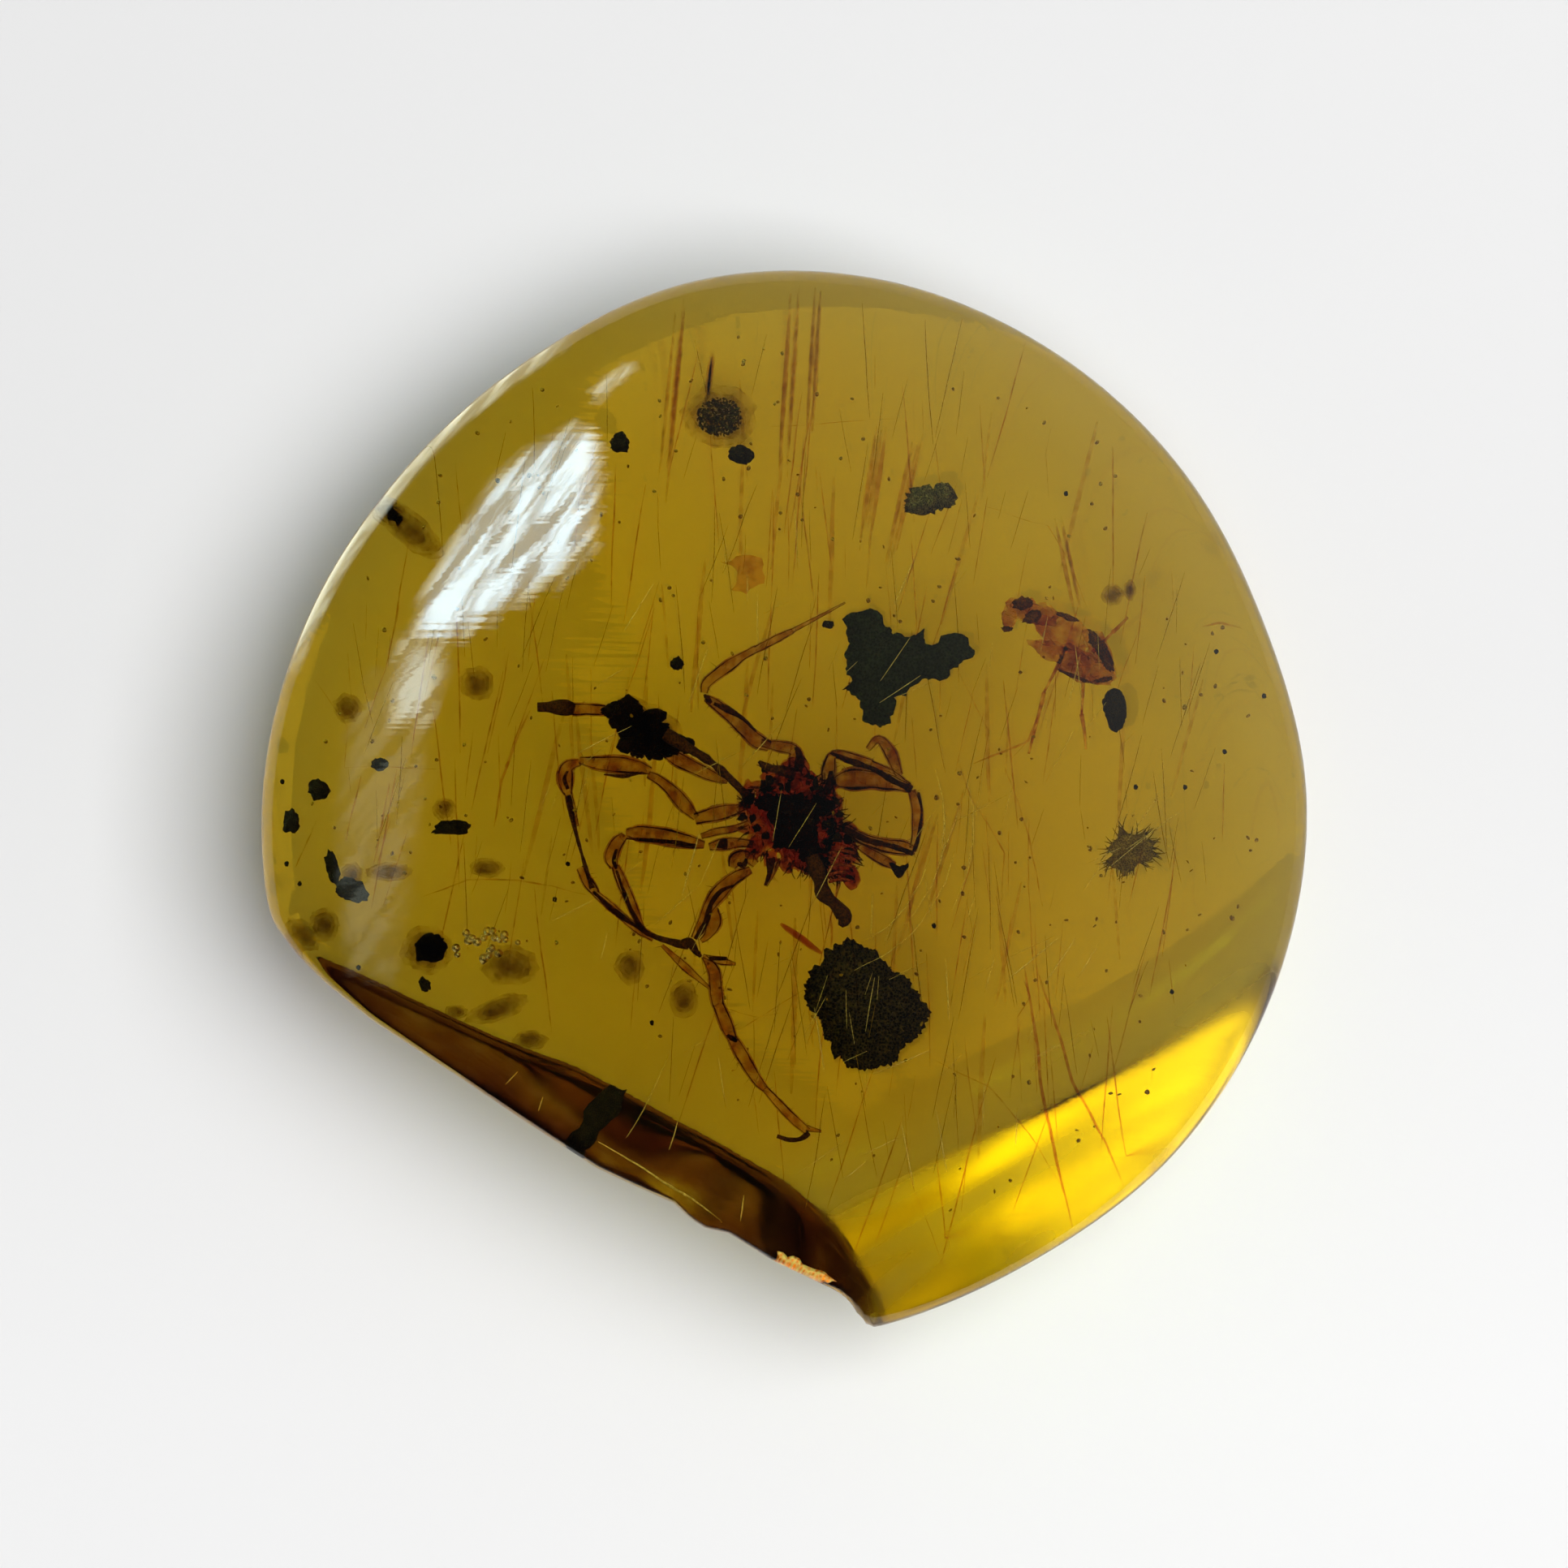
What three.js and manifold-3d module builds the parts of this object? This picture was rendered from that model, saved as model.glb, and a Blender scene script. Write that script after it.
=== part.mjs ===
// A spider and forest litter sealed in a hand-polished piece of clear amber.
// Millimetres, +Z up. The amber lies on its flat base at Z = 0, and is parted at
// PARTING_Z so that everything sealed in it lies in a pocket of its own.

import * as THREE from 'three';
import { mergeVertices } from 'three/addons/utils/BufferGeometryUtils.js';
import Module from 'manifold-3d';

const wasm = await Module();
wasm.setup();

// ---- driving dimensions ----

const THICKNESS = 6.2; // flat base to the top of the dome
const RIM_Z = 3.9; // level at which the stone is widest
const PARTING_Z = 3.6; // plane that parts the amber in two
const RIM_STEP = 20; // degrees between the radii below
const RIM_RADII = [ // distance of the rim from the axis, anticlockwise from +X
  11.89, 11.62, 11.74, 11.87, 12.0, 11.93, 11.55, 11.42, 11.6,
  11.87, 12.08, 12.2, 12.3, 12.3, 12.25, 12.04, 12.02, 11.97,
];
const DOME = { power: 2.4, height: THICKNESS - RIM_Z }; // low dome above the rim
const BELLY = { power: 30, height: RIM_Z + 0.12 }; // upright sides, cut flat at Z = 0
const ROUND_STEPS = 52; // facets round the stone
const LEVELS = 16; // rings from pole to pole

const BEVEL = { azimuth: -63, tilt: 41, start: 8 }; // facet under the lower right rim

const BREAK_START = [-11.65, -2.9]; // where the broken side leaves the rim
const BREAK_END = [1.83, -11.98]; // where it meets the rim again
const BREAK_LIP = [ // [along, out] of the broken side where it meets the dome, from BREAK_START
  [-2, -0.9], [0, 0], [0.8, 0.25], [1.8, 0.42], [3.1, 0.52], [5.5, 0.48], [9.2, 0.43],
  [11.1, 0.14], [11.6, 0.23], [12, 0.22], [12.5, 0.02], [13.7, -0.02], [15.3, -0.25],
  [15.7, -0.2], [16.1, 0.02], [18, 0.4],
];
const BREAK_FOOT = [ // the same at the base, where the break is undercut
  [-2, -1.3], [0, -0.45], [1.9, -0.45], [3.8, -0.65], [5.5, -0.9], [6.4, -1.1], [7.5, -1.4],
  [9.1, -1.6], [11.1, -1.75], [12.9, -1.9], [14.5, -1.8], [15.3, -1.6], [18, -1.3],
];

const AMBER_INDEX = 1.54; // refractive index of amber
const CLEARANCE = 0.3; // pocket wall to what lies in it
const CORNER_ROOM = 1.25; // how much wider than its contents a round pocket is

// ---- numbers and points ----

const rad = THREE.MathUtils.degToRad;
const polar = (radius, degrees) => [radius * Math.cos(rad(degrees)), radius * Math.sin(rad(degrees))];

// Smooth value at angle `degrees` through a ring of values `step` degrees apart.
function ringValue(values, step, degrees) {
  const place = (((degrees % 360) + 360) % 360) / step;
  const i = Math.floor(place);
  const t = place - i;
  const [a, b, c, d] = [-1, 0, 1, 2].map((k) => values[(i + k + values.length) % values.length]);
  return b + 0.5 * t * (c - a + t * (2 * a - 5 * b + 4 * c - d + t * (3 * (b - c) + d - a)));
}

// Straight-line value at `x` through [x, value] pairs.
function stepValue(pairs, x) {
  const next = pairs.findIndex((pair) => pair[0] >= x);
  if (next <= 0) return next < 0 ? pairs.at(-1)[1] : pairs[0][1];
  const [[x0, y0], [x1, y1]] = [pairs[next - 1], pairs[next]];
  return y0 + ((y1 - y0) * (x - x0)) / (x1 - x0);
}

const rimRadius = (x, y) => ringValue(RIM_RADII, RIM_STEP, THREE.MathUtils.radToDeg(Math.atan2(y, x)));

function domeZ(x, y) {
  const reach = Math.min(1, Math.hypot(x, y) / rimRadius(x, y));
  return RIM_Z + DOME.height * Math.sqrt(1 - reach ** DOME.power);
}

// The place at level z that shows at (x, y) from straight above: the dome bends the line of sight.
function sunk(x, y, z) {
  const h = 0.05;
  const [gx, gy] = [domeZ(x + h, y) - domeZ(x - h, y), domeZ(x, y + h) - domeZ(x, y - h)];
  const slope = Math.atan(Math.hypot(gx, gy) / (2 * h));
  const bend = slope - Math.asin(Math.sin(slope) / AMBER_INDEX);
  const shift = (Math.tan(bend) * (domeZ(x, y) - z)) / (Math.hypot(gx, gy) || 1);
  return new THREE.Vector3(x + gx * shift, y + gy * shift, z);
}

// ---- solids ----

function solid(geometry) {
  const bare = geometry.clone();
  bare.deleteAttribute('normal');
  bare.deleteAttribute('uv');
  const merged = mergeVertices(bare, 1e-4);
  return new wasm.Manifold(new wasm.Mesh({
    numProp: 3,
    vertProperties: new Float32Array(merged.attributes.position.array),
    triVerts: new Uint32Array(merged.index.array),
  }));
}

function surface(body) {
  const mesh = body.getMesh();
  const geometry = new THREE.BufferGeometry();
  geometry.setAttribute('position', new THREE.BufferAttribute(mesh.vertProperties, 3));
  geometry.setIndex(new THREE.BufferAttribute(mesh.triVerts, 1));
  geometry.computeVertexNormals();
  return geometry;
}

const join = (parts) => parts.reduce((sum, part) => sum.add(part));

// Moves every corner of a geometry by a rule.
function reshape(geometry, rule) {
  const corners = geometry.attributes.position;
  const corner = new THREE.Vector3();
  for (let i = 0; i < corners.count; i += 1) {
    corner.fromBufferAttribute(corners, i);
    corners.setXYZ(i, ...rule(corner));
  }
  return geometry;
}

// A lump of radius `girth` seen at `at`, `up` and `down` high, with an uneven outline.
function lump({ at: [x, y, h], girth, step = 360 / girth.length, up, down = up, steps = 10, levels = 6 }, grow = 0) {
  const centre = sunk(x, y, PARTING_Z + h);
  const ball = new THREE.SphereGeometry(1, steps, levels).rotateX(Math.PI / 2);
  return solid(reshape(ball, (p) => {
    const reach = ringValue(girth, step, THREE.MathUtils.radToDeg(Math.atan2(p.y, p.x))) + grow;
    return [centre.x + p.x * reach, centre.y + p.y * reach, centre.z + p.z * ((p.z > 0 ? up : down) + grow)];
  }));
}

// A limb: a tube with a ring at each joint, and a ring `swell` times wider half-way between joints.
function limb({ joints, from, to, swell = 1.3, sides = 6 }, grow = 0) {
  const places = joints.map(([x, y, h]) => sunk(x, y, PARTING_Z + h));
  const rings = places.flatMap((place, i) => {
    const radius = THREE.MathUtils.lerp(from, to, i / (places.length - 1)) + grow;
    if (swell === 1 || i === places.length - 1) return [{ place, radius }];
    return [{ place, radius }, { place: place.clone().lerp(places[i + 1], 0.5), radius: radius * swell }];
  });
  const last = rings.length - 1;
  const frames = rings.map(({ place }, i) => {
    const before = rings[Math.max(0, i - 1)].place;
    const along = rings[Math.min(last, i + 1)].place.clone().sub(before).normalize();
    const side = new THREE.Vector3(0, 0, 1).cross(along).normalize();
    return { side, rise: along.clone().cross(side) };
  });
  const tube = new THREE.CylinderGeometry(1, 1, 1, sides, last);
  return solid(reshape(tube, (p) => {
    const i = Math.round((0.5 - p.y) * last);
    const { place, radius } = rings[i];
    return place.clone().addScaledVector(frames[i].side, p.x * radius).addScaledVector(frames[i].rise, p.z * radius);
  }));
}

// A thin plate with a ragged edge, `thick` high, lying at height h above the parting plane.
function plate({ edge, h, thick, lean = 0 }) {
  const outline = new THREE.Shape(edge.map(([x, y]) => {
    const place = sunk(x, y, PARTING_Z + h);
    return new THREE.Vector2(place.x, place.y);
  }));
  const middle = edge.reduce((sum, [x]) => sum + x, 0) / edge.length;
  const sheet = new THREE.ExtrudeGeometry(outline, { depth: thick, bevelEnabled: false });
  return solid(reshape(sheet, (p) => [p.x, p.y, p.z + PARTING_Z + h - thick / 2 + lean * (p.x - middle)]));
}

// A round shaft from the parting plane past whatever lies in it.
function shaft(body) {
  const { min, max } = body.boundingBox();
  const bottom = Math.min(min[2] - CLEARANCE, PARTING_Z - CLEARANCE);
  const top = Math.max(max[2] + CLEARANCE, PARTING_Z + CLEARANCE);
  const tube = new THREE.CylinderGeometry(1, 1, top - bottom, 8).rotateX(Math.PI / 2);
  const size = [0, 1].map((k) => ((max[k] - min[k]) / 2) * CORNER_ROOM + CLEARANCE);
  tube.scale(size[0], size[1], 1).translate((min[0] + max[0]) / 2, (min[1] + max[1]) / 2, (bottom + top) / 2);
  return solid(tube);
}

// ---- the amber ----

// A smooth pebble: every ring of a ball drawn out to the rim's outline and the two profiles.
function pebble() {
  const ball = new THREE.SphereGeometry(1, ROUND_STEPS, LEVELS).rotateX(Math.PI / 2);
  return solid(reshape(ball, (p) => {
    const { power, height } = p.z < 0 ? BELLY : DOME;
    const flat = Math.hypot(p.x, p.y);
    const reach = rimRadius(p.x, p.y) * Math.min(1, flat) ** (2 / power);
    const scale = flat > 1e-6 ? reach / flat : 0;
    return [p.x * scale, p.y * scale, Math.max(0, RIM_Z + height * p.z)];
  }));
}

// What the facet under the lower right rim takes away.
function bevelCut() {
  const side = 30;
  const block = new THREE.BoxGeometry(side, side, side).translate(0, 0, -side / 2);
  block.rotateY(-rad(BEVEL.tilt)).translate(BEVEL.start, 0, 0).rotateZ(rad(BEVEL.azimuth));
  return solid(block);
}

// What the break takes away: a block whose near face follows the broken side.
function breakCut() {
  const [length, depth, height] = [19, 5, 9];
  const start = new THREE.Vector2(...BREAK_START);
  const along = new THREE.Vector2(...BREAK_END).sub(start).normalize();
  const out = new THREE.Vector2(along.y, -along.x);
  const block = new THREE.BoxGeometry(length, depth, height, 36, 1, 3).translate(length / 2 - 1.4, 0, height / 2 - 1);
  return solid(reshape(block, (p) => {
    const at = (away) => start.clone().addScaledVector(along, p.x).addScaledVector(out, away);
    const lip = stepValue(BREAK_LIP, p.x);
    const lean = THREE.MathUtils.clamp(p.z / domeZ(...at(lip)), 0, 1.2);
    const face = THREE.MathUtils.lerp(stepValue(BREAK_FOOT, p.x), lip, lean);
    const place = at(p.y > 0 ? face : depth);
    return [place.x, place.y, p.z];
  }));
}

// ---- the spider: body, legs, palp and crust in one piece ----

const BODY = [
  { at: [0.05, -0.42, 0], girth: [1.1, 0.95, 1.1, 1.05, 0.95, 1.0, 1.15, 1.05], up: 0.62, down: 0.55 },
  { at: [1.15, -1.25, -0.05], girth: [0.5, 0.45, 0.5, 0.45, 0.45, 0.6, 0.6, 0.45], up: 0.45 },
];

const CRUST = [
  { at: [-3.3, 1.62, 0.05], girth: [0.75, 0.3, 0.38, 0.72, 0.55, 0.34, 0.36, 0.62], up: 0.28, steps: 16 },
];

const LEGS = {
  upper_front: { from: 0.26, to: 0.06, joints: [
    [0.2, 0.2, 0], [0.22, 1.02, 0.15], [-0.55, 1.32, 0.3], [-1.78, 2.28, 0.25], [-1.6, 2.66, 0.1], [-0.3, 3.48, 0],
    [1.38, 4.43, -0.1]] },
  crusted: { from: 0.12, to: 0.19, joints: [
    [-0.75, 0, 0], [-2.0, 1.02, 0.2], [-3.3, 1.62, 0.1], [-4.5, 2.05, 0], [-5.6, 2.1, -0.1]] },
  crusted_stub: { from: 0.13, to: 0.14, joints: [[-1.3, 0.36, 0], [-2.85, 1.05, 0.05]] },
  left: { from: 0.2, to: 0.09, joints: [
    [-0.6, -0.2, 0], [-1.95, -0.45, 0.15], [-3.05, 0.56, 0.3], [-4.75, 0.78, 0.2], [-4.88, 0.3, 0.1],
    [-4.38, -1.95, 0], [-3.8, -2.7, -0.05], [-2.84, -3.2, -0.1], [-2.1, -3.4, -0.1]] },
  lower_left: { from: 0.19, to: 0.08, joints: [
    [-0.7, -0.9, 0], [-1.75, -1.08, 0.1], [-3.55, -0.75, 0.25], [-3.86, -1.3, 0.1], [-3.2, -2.8, 0], [-2.65, -3.3, -0.1]] },
  hind: { from: 0.22, to: 0.05, joints: [
    [-0.5, -1.2, 0], [-1.1, -1.72, 0.1], [-1.95, -2.65, 0.15], [-2.02, -3.45, 0.05], [-1.68, -4.1, 0],
    [-1.2, -5.4, -0.05], [-0.1, -6.95, -0.15], [0.58, -7.5, -0.2], [0.1, -7.76, -0.2]] },
  upper_right: { from: 0.18, to: 0.09, joints: [
    [0.75, 0.1, 0], [1.08, 1.0, 0.1], [2.05, 0.72, 0.2], [2.92, 0.2, 0.1], [3.0, -0.5, 0.05], [2.94, -1.15, 0]] },
  upper_right_fold: { from: 0.15, to: 0.13, joints: [[0.9, 0.15, -0.1], [2.75, 0.25, 0]] },
  right: { from: 0.18, to: 0.14, joints: [[0.9, -0.6, 0], [1.85, -0.98, 0.05], [2.88, -1.2, 0]] },
  right_tip: { from: 0.14, to: 0.13, joints: [[1.5, -0.95, -0.05], [2.62, -1.62, -0.05]] },
  palp: { from: 0.24, to: 0.13, swell: 1.1, joints: [[0.6, -1.3, 0], [0.95, -2.25, 0.05], [1.3, -2.8, 0]] },
  stub: { from: 0.11, to: 0.07, joints: [[-0.1, -1.3, 0], [-0.48, -1.98, 0]] },
};

function spider() {
  return join([...BODY, ...CRUST].map((part) => lump(part)).concat(Object.values(LEGS).map((leg) => limb(leg))));
}

// The pocket follows the spider, with square legs and a clearance all round.
function spiderPocket() {
  const legs = Object.values(LEGS).map((leg) => limb({ ...leg, swell: 1, sides: 4 }, CLEARANCE + 0.15));
  const lumps = [...BODY, ...CRUST].map((part) => lump({ ...part, steps: 8, levels: 4 }, CLEARANCE + 0.2));
  return join([...lumps, ...legs]);
}

// ---- litter: everything else sealed in the amber ----

const LEAF = { h: 0.75, thick: 0.16, lean: 0.06, edge: [
  [1.31, 4.04], [2.25, 3.97], [2.46, 3.71], [3.18, 3.84], [3.21, 3.49], [4.19, 3.45], [4.32, 3.32],
  [3.95, 2.95], [3.34, 2.7], [2.92, 2.53], [2.49, 2.27], [2.42, 1.68], [2.16, 1.59], [1.77, 1.75],
  [1.61, 2.31], [1.31, 2.44], [1.53, 2.7], [1.37, 3.19], [1.44, 3.6]] };

const WOOD = { at: [1.85, -4.7, -0.2], up: 0.75, down: 0.7, steps: 20, levels: 8,
  girth: [1.28, 1.1, 1.02, 1.25, 1.32, 1.35, 1.12, 1.0, 1.28, 1.3, 1.0, 0.95, 1.05, 1.2, 1.42, 1.4, 1.42, 1.2, 1.22, 1.36] };

const INSECT_BODY = [
  { at: [5.4, 4.1, 0.35], girth: [0.5, 0.3, 0.4, 0.5, 0.45, 0.35, 0.4, 0.5], up: 0.3 },
  { at: [6.15, 3.65, 0.35], girth: [0.7, 0.5, 0.5, 0.65, 0.6, 0.5, 0.55, 0.75], up: 0.38 },
  { at: [6.95, 3.1, 0.3], girth: [0.45, 0.35, 0.5, 0.7, 0.5, 0.35, 0.45, 0.65], up: 0.3 },
];
const INSECT_LEGS = [
  { from: 0.07, to: 0.05, joints: [[6.4, 3.4, 0.2], [5.9, 2.4, 0.1], [5.55, 1.0, 0]] },
  { from: 0.07, to: 0.05, joints: [[6.8, 3.0, 0.2], [6.75, 1.9, 0.1], [6.85, 1.1, 0]] },
  { from: 0.06, to: 0.05, joints: [[7.0, 3.3, 0.2], [7.45, 3.75, 0.15], [7.8, 4.1, 0.1]] },
];

const SPIKY = { h: -0.3, thick: 0.3, edge: [
  [7.62, -0.65], [7.9, -0.82], [8.23, -0.74], [8.24, -0.95], [8.44, -1.0], [8.35, -1.15], [8.47, -1.3],
  [8.18, -1.44], [7.95, -1.62], [7.74, -1.79], [7.59, -1.61], [7.31, -1.5], [7.48, -1.27], [7.33, -1.14], [7.58, -0.92]] };

const FLAKE = { h: 0.9, thick: 0.1, edge: [
  [-1.45, 5.35], [-0.95, 5.5], [-0.5, 5.42], [-0.45, 4.85], [-0.85, 4.6], [-1.2, 4.7], [-1.05, 5.1]] };

const LITTER = {
  leaf_fragment: () => plate(LEAF),
  wood_fragment: () => lump(WOOD),
  insect_remains: () => join([...INSECT_BODY.map((part) => lump(part)), ...INSECT_LEGS.map((leg) => limb(leg))]),
  spiky_fragment: () => plate(SPIKY),
  brown_flake: () => plate(FLAKE),
  oval_pellet: () => lump({ at: [7.52, 2.02, -0.1], girth: [0.25, 0.3, 0.45, 0.35, 0.26, 0.28, 0.5, 0.32], up: 0.24 }),
  litter_clump: () => join([
    lump({ at: [3.15, 6.74, 0.2], girth: [0.35, 0.3, 0.3, 0.32, 0.36, 0.4, 0.35, 0.3], up: 0.3 }),
    lump({ at: [3.62, 6.85, 0.15], girth: [0.36, 0.3, 0.28, 0.3, 0.3, 0.28, 0.32, 0.34], up: 0.3 }),
  ]),
  dust_ball: () => lump({ at: [-1.46, 8.64, 0.3], girth: [0.62, 0.5, 0.48, 0.55, 0.6, 0.55, 0.5, 0.55], up: 0.4 }),
};

// Small dark grains: [x, y, height above the parting plane, half width, half depth, turn in degrees].
const GRAINS = [
  [-3.7, 8.04, 0.5, 0.21, 0.21, 0], [-0.96, 7.78, 0.5, 0.27, 0.19, -20], [1.0, 3.92, 0.6, 0.13, 0.09, 0],
  [-2.42, 3.05, 0.2, 0.14, 0.14, 0], [-10.58, 0.18, 0, 0.22, 0.22, 30], [-11.2, -0.55, 0, 0.17, 0.25, 0],
  [-10.26, -1.58, 0.1, 0.15, 0.36, 10], [-9.86, -2.1, -0.2, 0.38, 0.24, -25], [-9.18, 0.76, 0, 0.19, 0.14, 0],
  [-7.55, -0.67, 0.1, 0.4, 0.16, 5], [-8.05, -3.4, -0.5, 0.34, 0.3, 40], [-8.16, -4.25, 0, 0.12, 0.16, 20],
];

function grain([x, y, h, wide, deep, turn]) {
  const around = [0, 45, 90, 135, 180, 225, 270, 315];
  const girth = around.map((degrees, i) => {
    const [u, v] = polar(1, degrees - turn);
    return (1 + 0.09 * (i % 2)) / Math.hypot(u / wide, v / deep);
  });
  return lump({ at: [x, y, h], girth, up: Math.min(wide, deep), steps: 8, levels: 4 });
}

GRAINS.forEach((place, i) => {
  LITTER[`grain_${String(i + 1).padStart(2, '0')}`] = () => grain(place);
});

// ---- materials ----

const FINISHES = {
  amber: { color: 0x96791f, roughness: 0.06, metalness: 0 },
  spider: { color: 0x3a1c0a, roughness: 0.45, metalness: 0 },
  leaf_fragment: { color: 0x23261c, roughness: 0.6, metalness: 0 },
  wood_fragment: { color: 0x1c150d, roughness: 0.8, metalness: 0 },
  insect_remains: { color: 0x6b3208, roughness: 0.5, metalness: 0 },
  spiky_fragment: { color: 0x4a3510, roughness: 0.7, metalness: 0 },
  brown_flake: { color: 0x7a4a10, roughness: 0.6, metalness: 0 },
  dust_ball: { color: 0x4a4210, roughness: 0.9, metalness: 0 },
  grain: { color: 0x120d07, roughness: 0.7, metalness: 0 },
};

function node(name, body, finish) {
  const mesh = new THREE.Mesh(surface(body), new THREE.MeshStandardMaterial(FINISHES[finish]));
  mesh.name = name;
  return mesh;
}

// ---- assembly ----

const model = new THREE.Group();

const sealed = Object.entries(LITTER).map(([name, make]) => ({ name, body: make() }));
const spiderBody = spider();
model.add(node('spider', spiderBody, 'spider'));
sealed.forEach(({ name, body }) => model.add(node(name, body, FINISHES[name] ? name : 'grain')));

const pockets = join([spiderPocket(), ...sealed.map(({ body }) => shaft(body))]);
const stone = pebble().subtract(bevelCut()).subtract(breakCut());
const half = (z) => solid(new THREE.BoxGeometry(40, 40, 20).translate(0, 0, z));
const hollow = stone.subtract(pockets);
model.add(node('amber_upper', hollow.intersect(half(PARTING_Z + 10)), 'amber'));
model.add(node('amber_lower', hollow.intersect(half(PARTING_Z - 10)), 'amber'));

export default model;
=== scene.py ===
"""A spider and forest litter in a hand-polished piece of clear amber, dressed over its CAD frame."""

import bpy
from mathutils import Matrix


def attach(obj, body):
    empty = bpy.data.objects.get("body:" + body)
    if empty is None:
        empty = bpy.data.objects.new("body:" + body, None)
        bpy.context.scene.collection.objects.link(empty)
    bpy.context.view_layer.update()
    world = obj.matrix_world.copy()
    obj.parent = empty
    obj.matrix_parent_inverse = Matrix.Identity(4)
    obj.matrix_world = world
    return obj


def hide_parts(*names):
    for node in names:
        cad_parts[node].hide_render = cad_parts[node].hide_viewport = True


bl_info = {
    "name": "Spider in Amber",
    "version": (1, 0, 0),
    "blender": (4, 5, 0),
    "location": "View3D > Sidebar > Amber",
    "description": "Builds a clear amber pebble with a fossil spider and litter sealed in it",
    "category": "Add Mesh",
}

import math

import bmesh
import bpy
import numpy as np
from mathutils import Matrix, Vector, noise

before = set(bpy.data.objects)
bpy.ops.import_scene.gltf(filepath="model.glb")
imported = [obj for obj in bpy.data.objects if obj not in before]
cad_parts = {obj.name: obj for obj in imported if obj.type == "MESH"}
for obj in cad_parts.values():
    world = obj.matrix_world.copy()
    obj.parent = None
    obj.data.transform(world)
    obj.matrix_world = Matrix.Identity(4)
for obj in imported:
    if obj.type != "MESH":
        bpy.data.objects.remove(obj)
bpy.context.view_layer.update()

MM = 0.001
RNG_SEED = 41

# ---- the stone's shape, in millimetres ----

THICKNESS = 6.2
RIM_Z = 3.9
PARTING_Z = 3.6
RIM_RADII = (
    11.89, 11.62, 11.74, 11.87, 12.0, 11.93, 11.55, 11.42, 11.6, 11.87, 12.08, 12.2, 12.3, 12.3, 12.25,
    12.04, 12.02, 11.97,
)
DOME_POWER, DOME_HEIGHT = 2.4, THICKNESS - RIM_Z
BELLY_POWER, BELLY_HEIGHT = 30.0, RIM_Z + 0.12
BEVEL_AZIMUTH, BEVEL_TILT, BEVEL_START = math.radians(-63), math.radians(41), 8.0
BEVEL_BOW = (1.0, 3.5, 6)  # how much closer the facet starts at its far end, from where and how soon
BREAK_START, BREAK_END = np.array((-11.65, -2.9)), np.array((1.83, -11.98))
BREAK_ALONG = (BREAK_END - BREAK_START) / np.linalg.norm(BREAK_END - BREAK_START)
BREAK_OUT = np.array((BREAK_ALONG[1], -BREAK_ALONG[0]))
BREAK_LIP = (
    (-2, -0.9), (0, 0), (0.8, 0.25), (1.8, 0.42), (3.1, 0.52), (5.5, 0.48), (9.2, 0.43), (11.1, 0.14),
    (11.6, 0.23), (12, 0.22), (12.5, 0.02), (13.7, -0.02), (15.3, -0.25), (15.7, -0.2), (16.1, 0.02),
    (18, 0.4),
)
BREAK_FOOT = (
    (-2, -1.3), (0, -0.45), (1.9, -0.45), (3.8, -0.65), (5.5, -0.9), (6.4, -1.1), (7.5, -1.4), (9.1, -1.6),
    (11.1, -1.75), (12.9, -1.9), (14.5, -1.8), (15.3, -1.6), (18, -1.3),
)
BREAK_HOLLOW = ((5.5, 0), (7, 0.5), (10, 0.5), (11.2, 0))
AMBER_INDEX = 1.54
EDGE_ROUNDING = {"bevel": 0.9, "break": 0.32, "base": 0.25}
STONE_GRID = 112  # quads along each edge of the wrapped cube
STONE_HALF = (12.0, 12.0, 3.6)
SEARCH_REACH, SEARCH_STEPS = 16.0, 30  # how far along a ray the skin is looked for, and in how many steps
BREAK_MATT, BEVEL_MATT = (-0.25, 0.02), (-1.1, 0.02)  # the depths between which the skin turns matt
GRIND_TURN = ((0.85, -0.53, 0), (0.53, 0.85, 0), (0, 0, 1))
GRIND_SCALE, GRIND_SPREAD = (0.25, 1.6, 0.5), 1.1  # how drawn out and how uneven the facet's grinding is
# grid of the brown layer of painted shade under the break
SHADE_RIND_GRID = (90, 16)


def between(a, b, c, d, t):
    """Smooth value a share t of the way from b to c, with a and d on either side."""
    return b + 0.5 * t * (c - a + t * (2 * a - 5 * b + 4 * c - d + t * (3 * (b - c) + d - a)))


def ring_value(values, angle):
    """Smooth value at an angle, in radians, through a ring of evenly spaced values."""
    values = np.asarray(values, float)
    place = np.mod(angle, 2 * math.pi) / (2 * math.pi) * len(values)
    i = np.floor(place).astype(int)
    return between(*(values[(i + k) % len(values)] for k in (-1, 0, 1, 2)), place - i)


def dome_z(x, y):
    reach = np.minimum(1, np.hypot(x, y) / ring_value(RIM_RADII, np.arctan2(y, x)))
    return RIM_Z + DOME_HEIGHT * np.sqrt(1 - reach ** DOME_POWER)


def sunk(x, y, z):
    """The place at level z that shows at (x, y) from above, where the dome bends the line of sight."""
    h = 0.05
    gx, gy = dome_z(x + h, y) - dome_z(x - h, y), dome_z(x, y + h) - dome_z(x, y - h)
    steep = math.hypot(gx, gy)
    slope = math.atan(steep / (2 * h))
    bend = slope - math.asin(math.sin(slope) / AMBER_INDEX)
    shift = math.tan(bend) * (dome_z(x, y) - z) / (steep or 1)
    return Vector((x + gx * shift, y + gy * shift, z))


def smooth_max(a, b, width):
    overlap = np.maximum(width - np.abs(a - b), 0) / width
    return np.maximum(a, b) + overlap * overlap * width / 4


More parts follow.
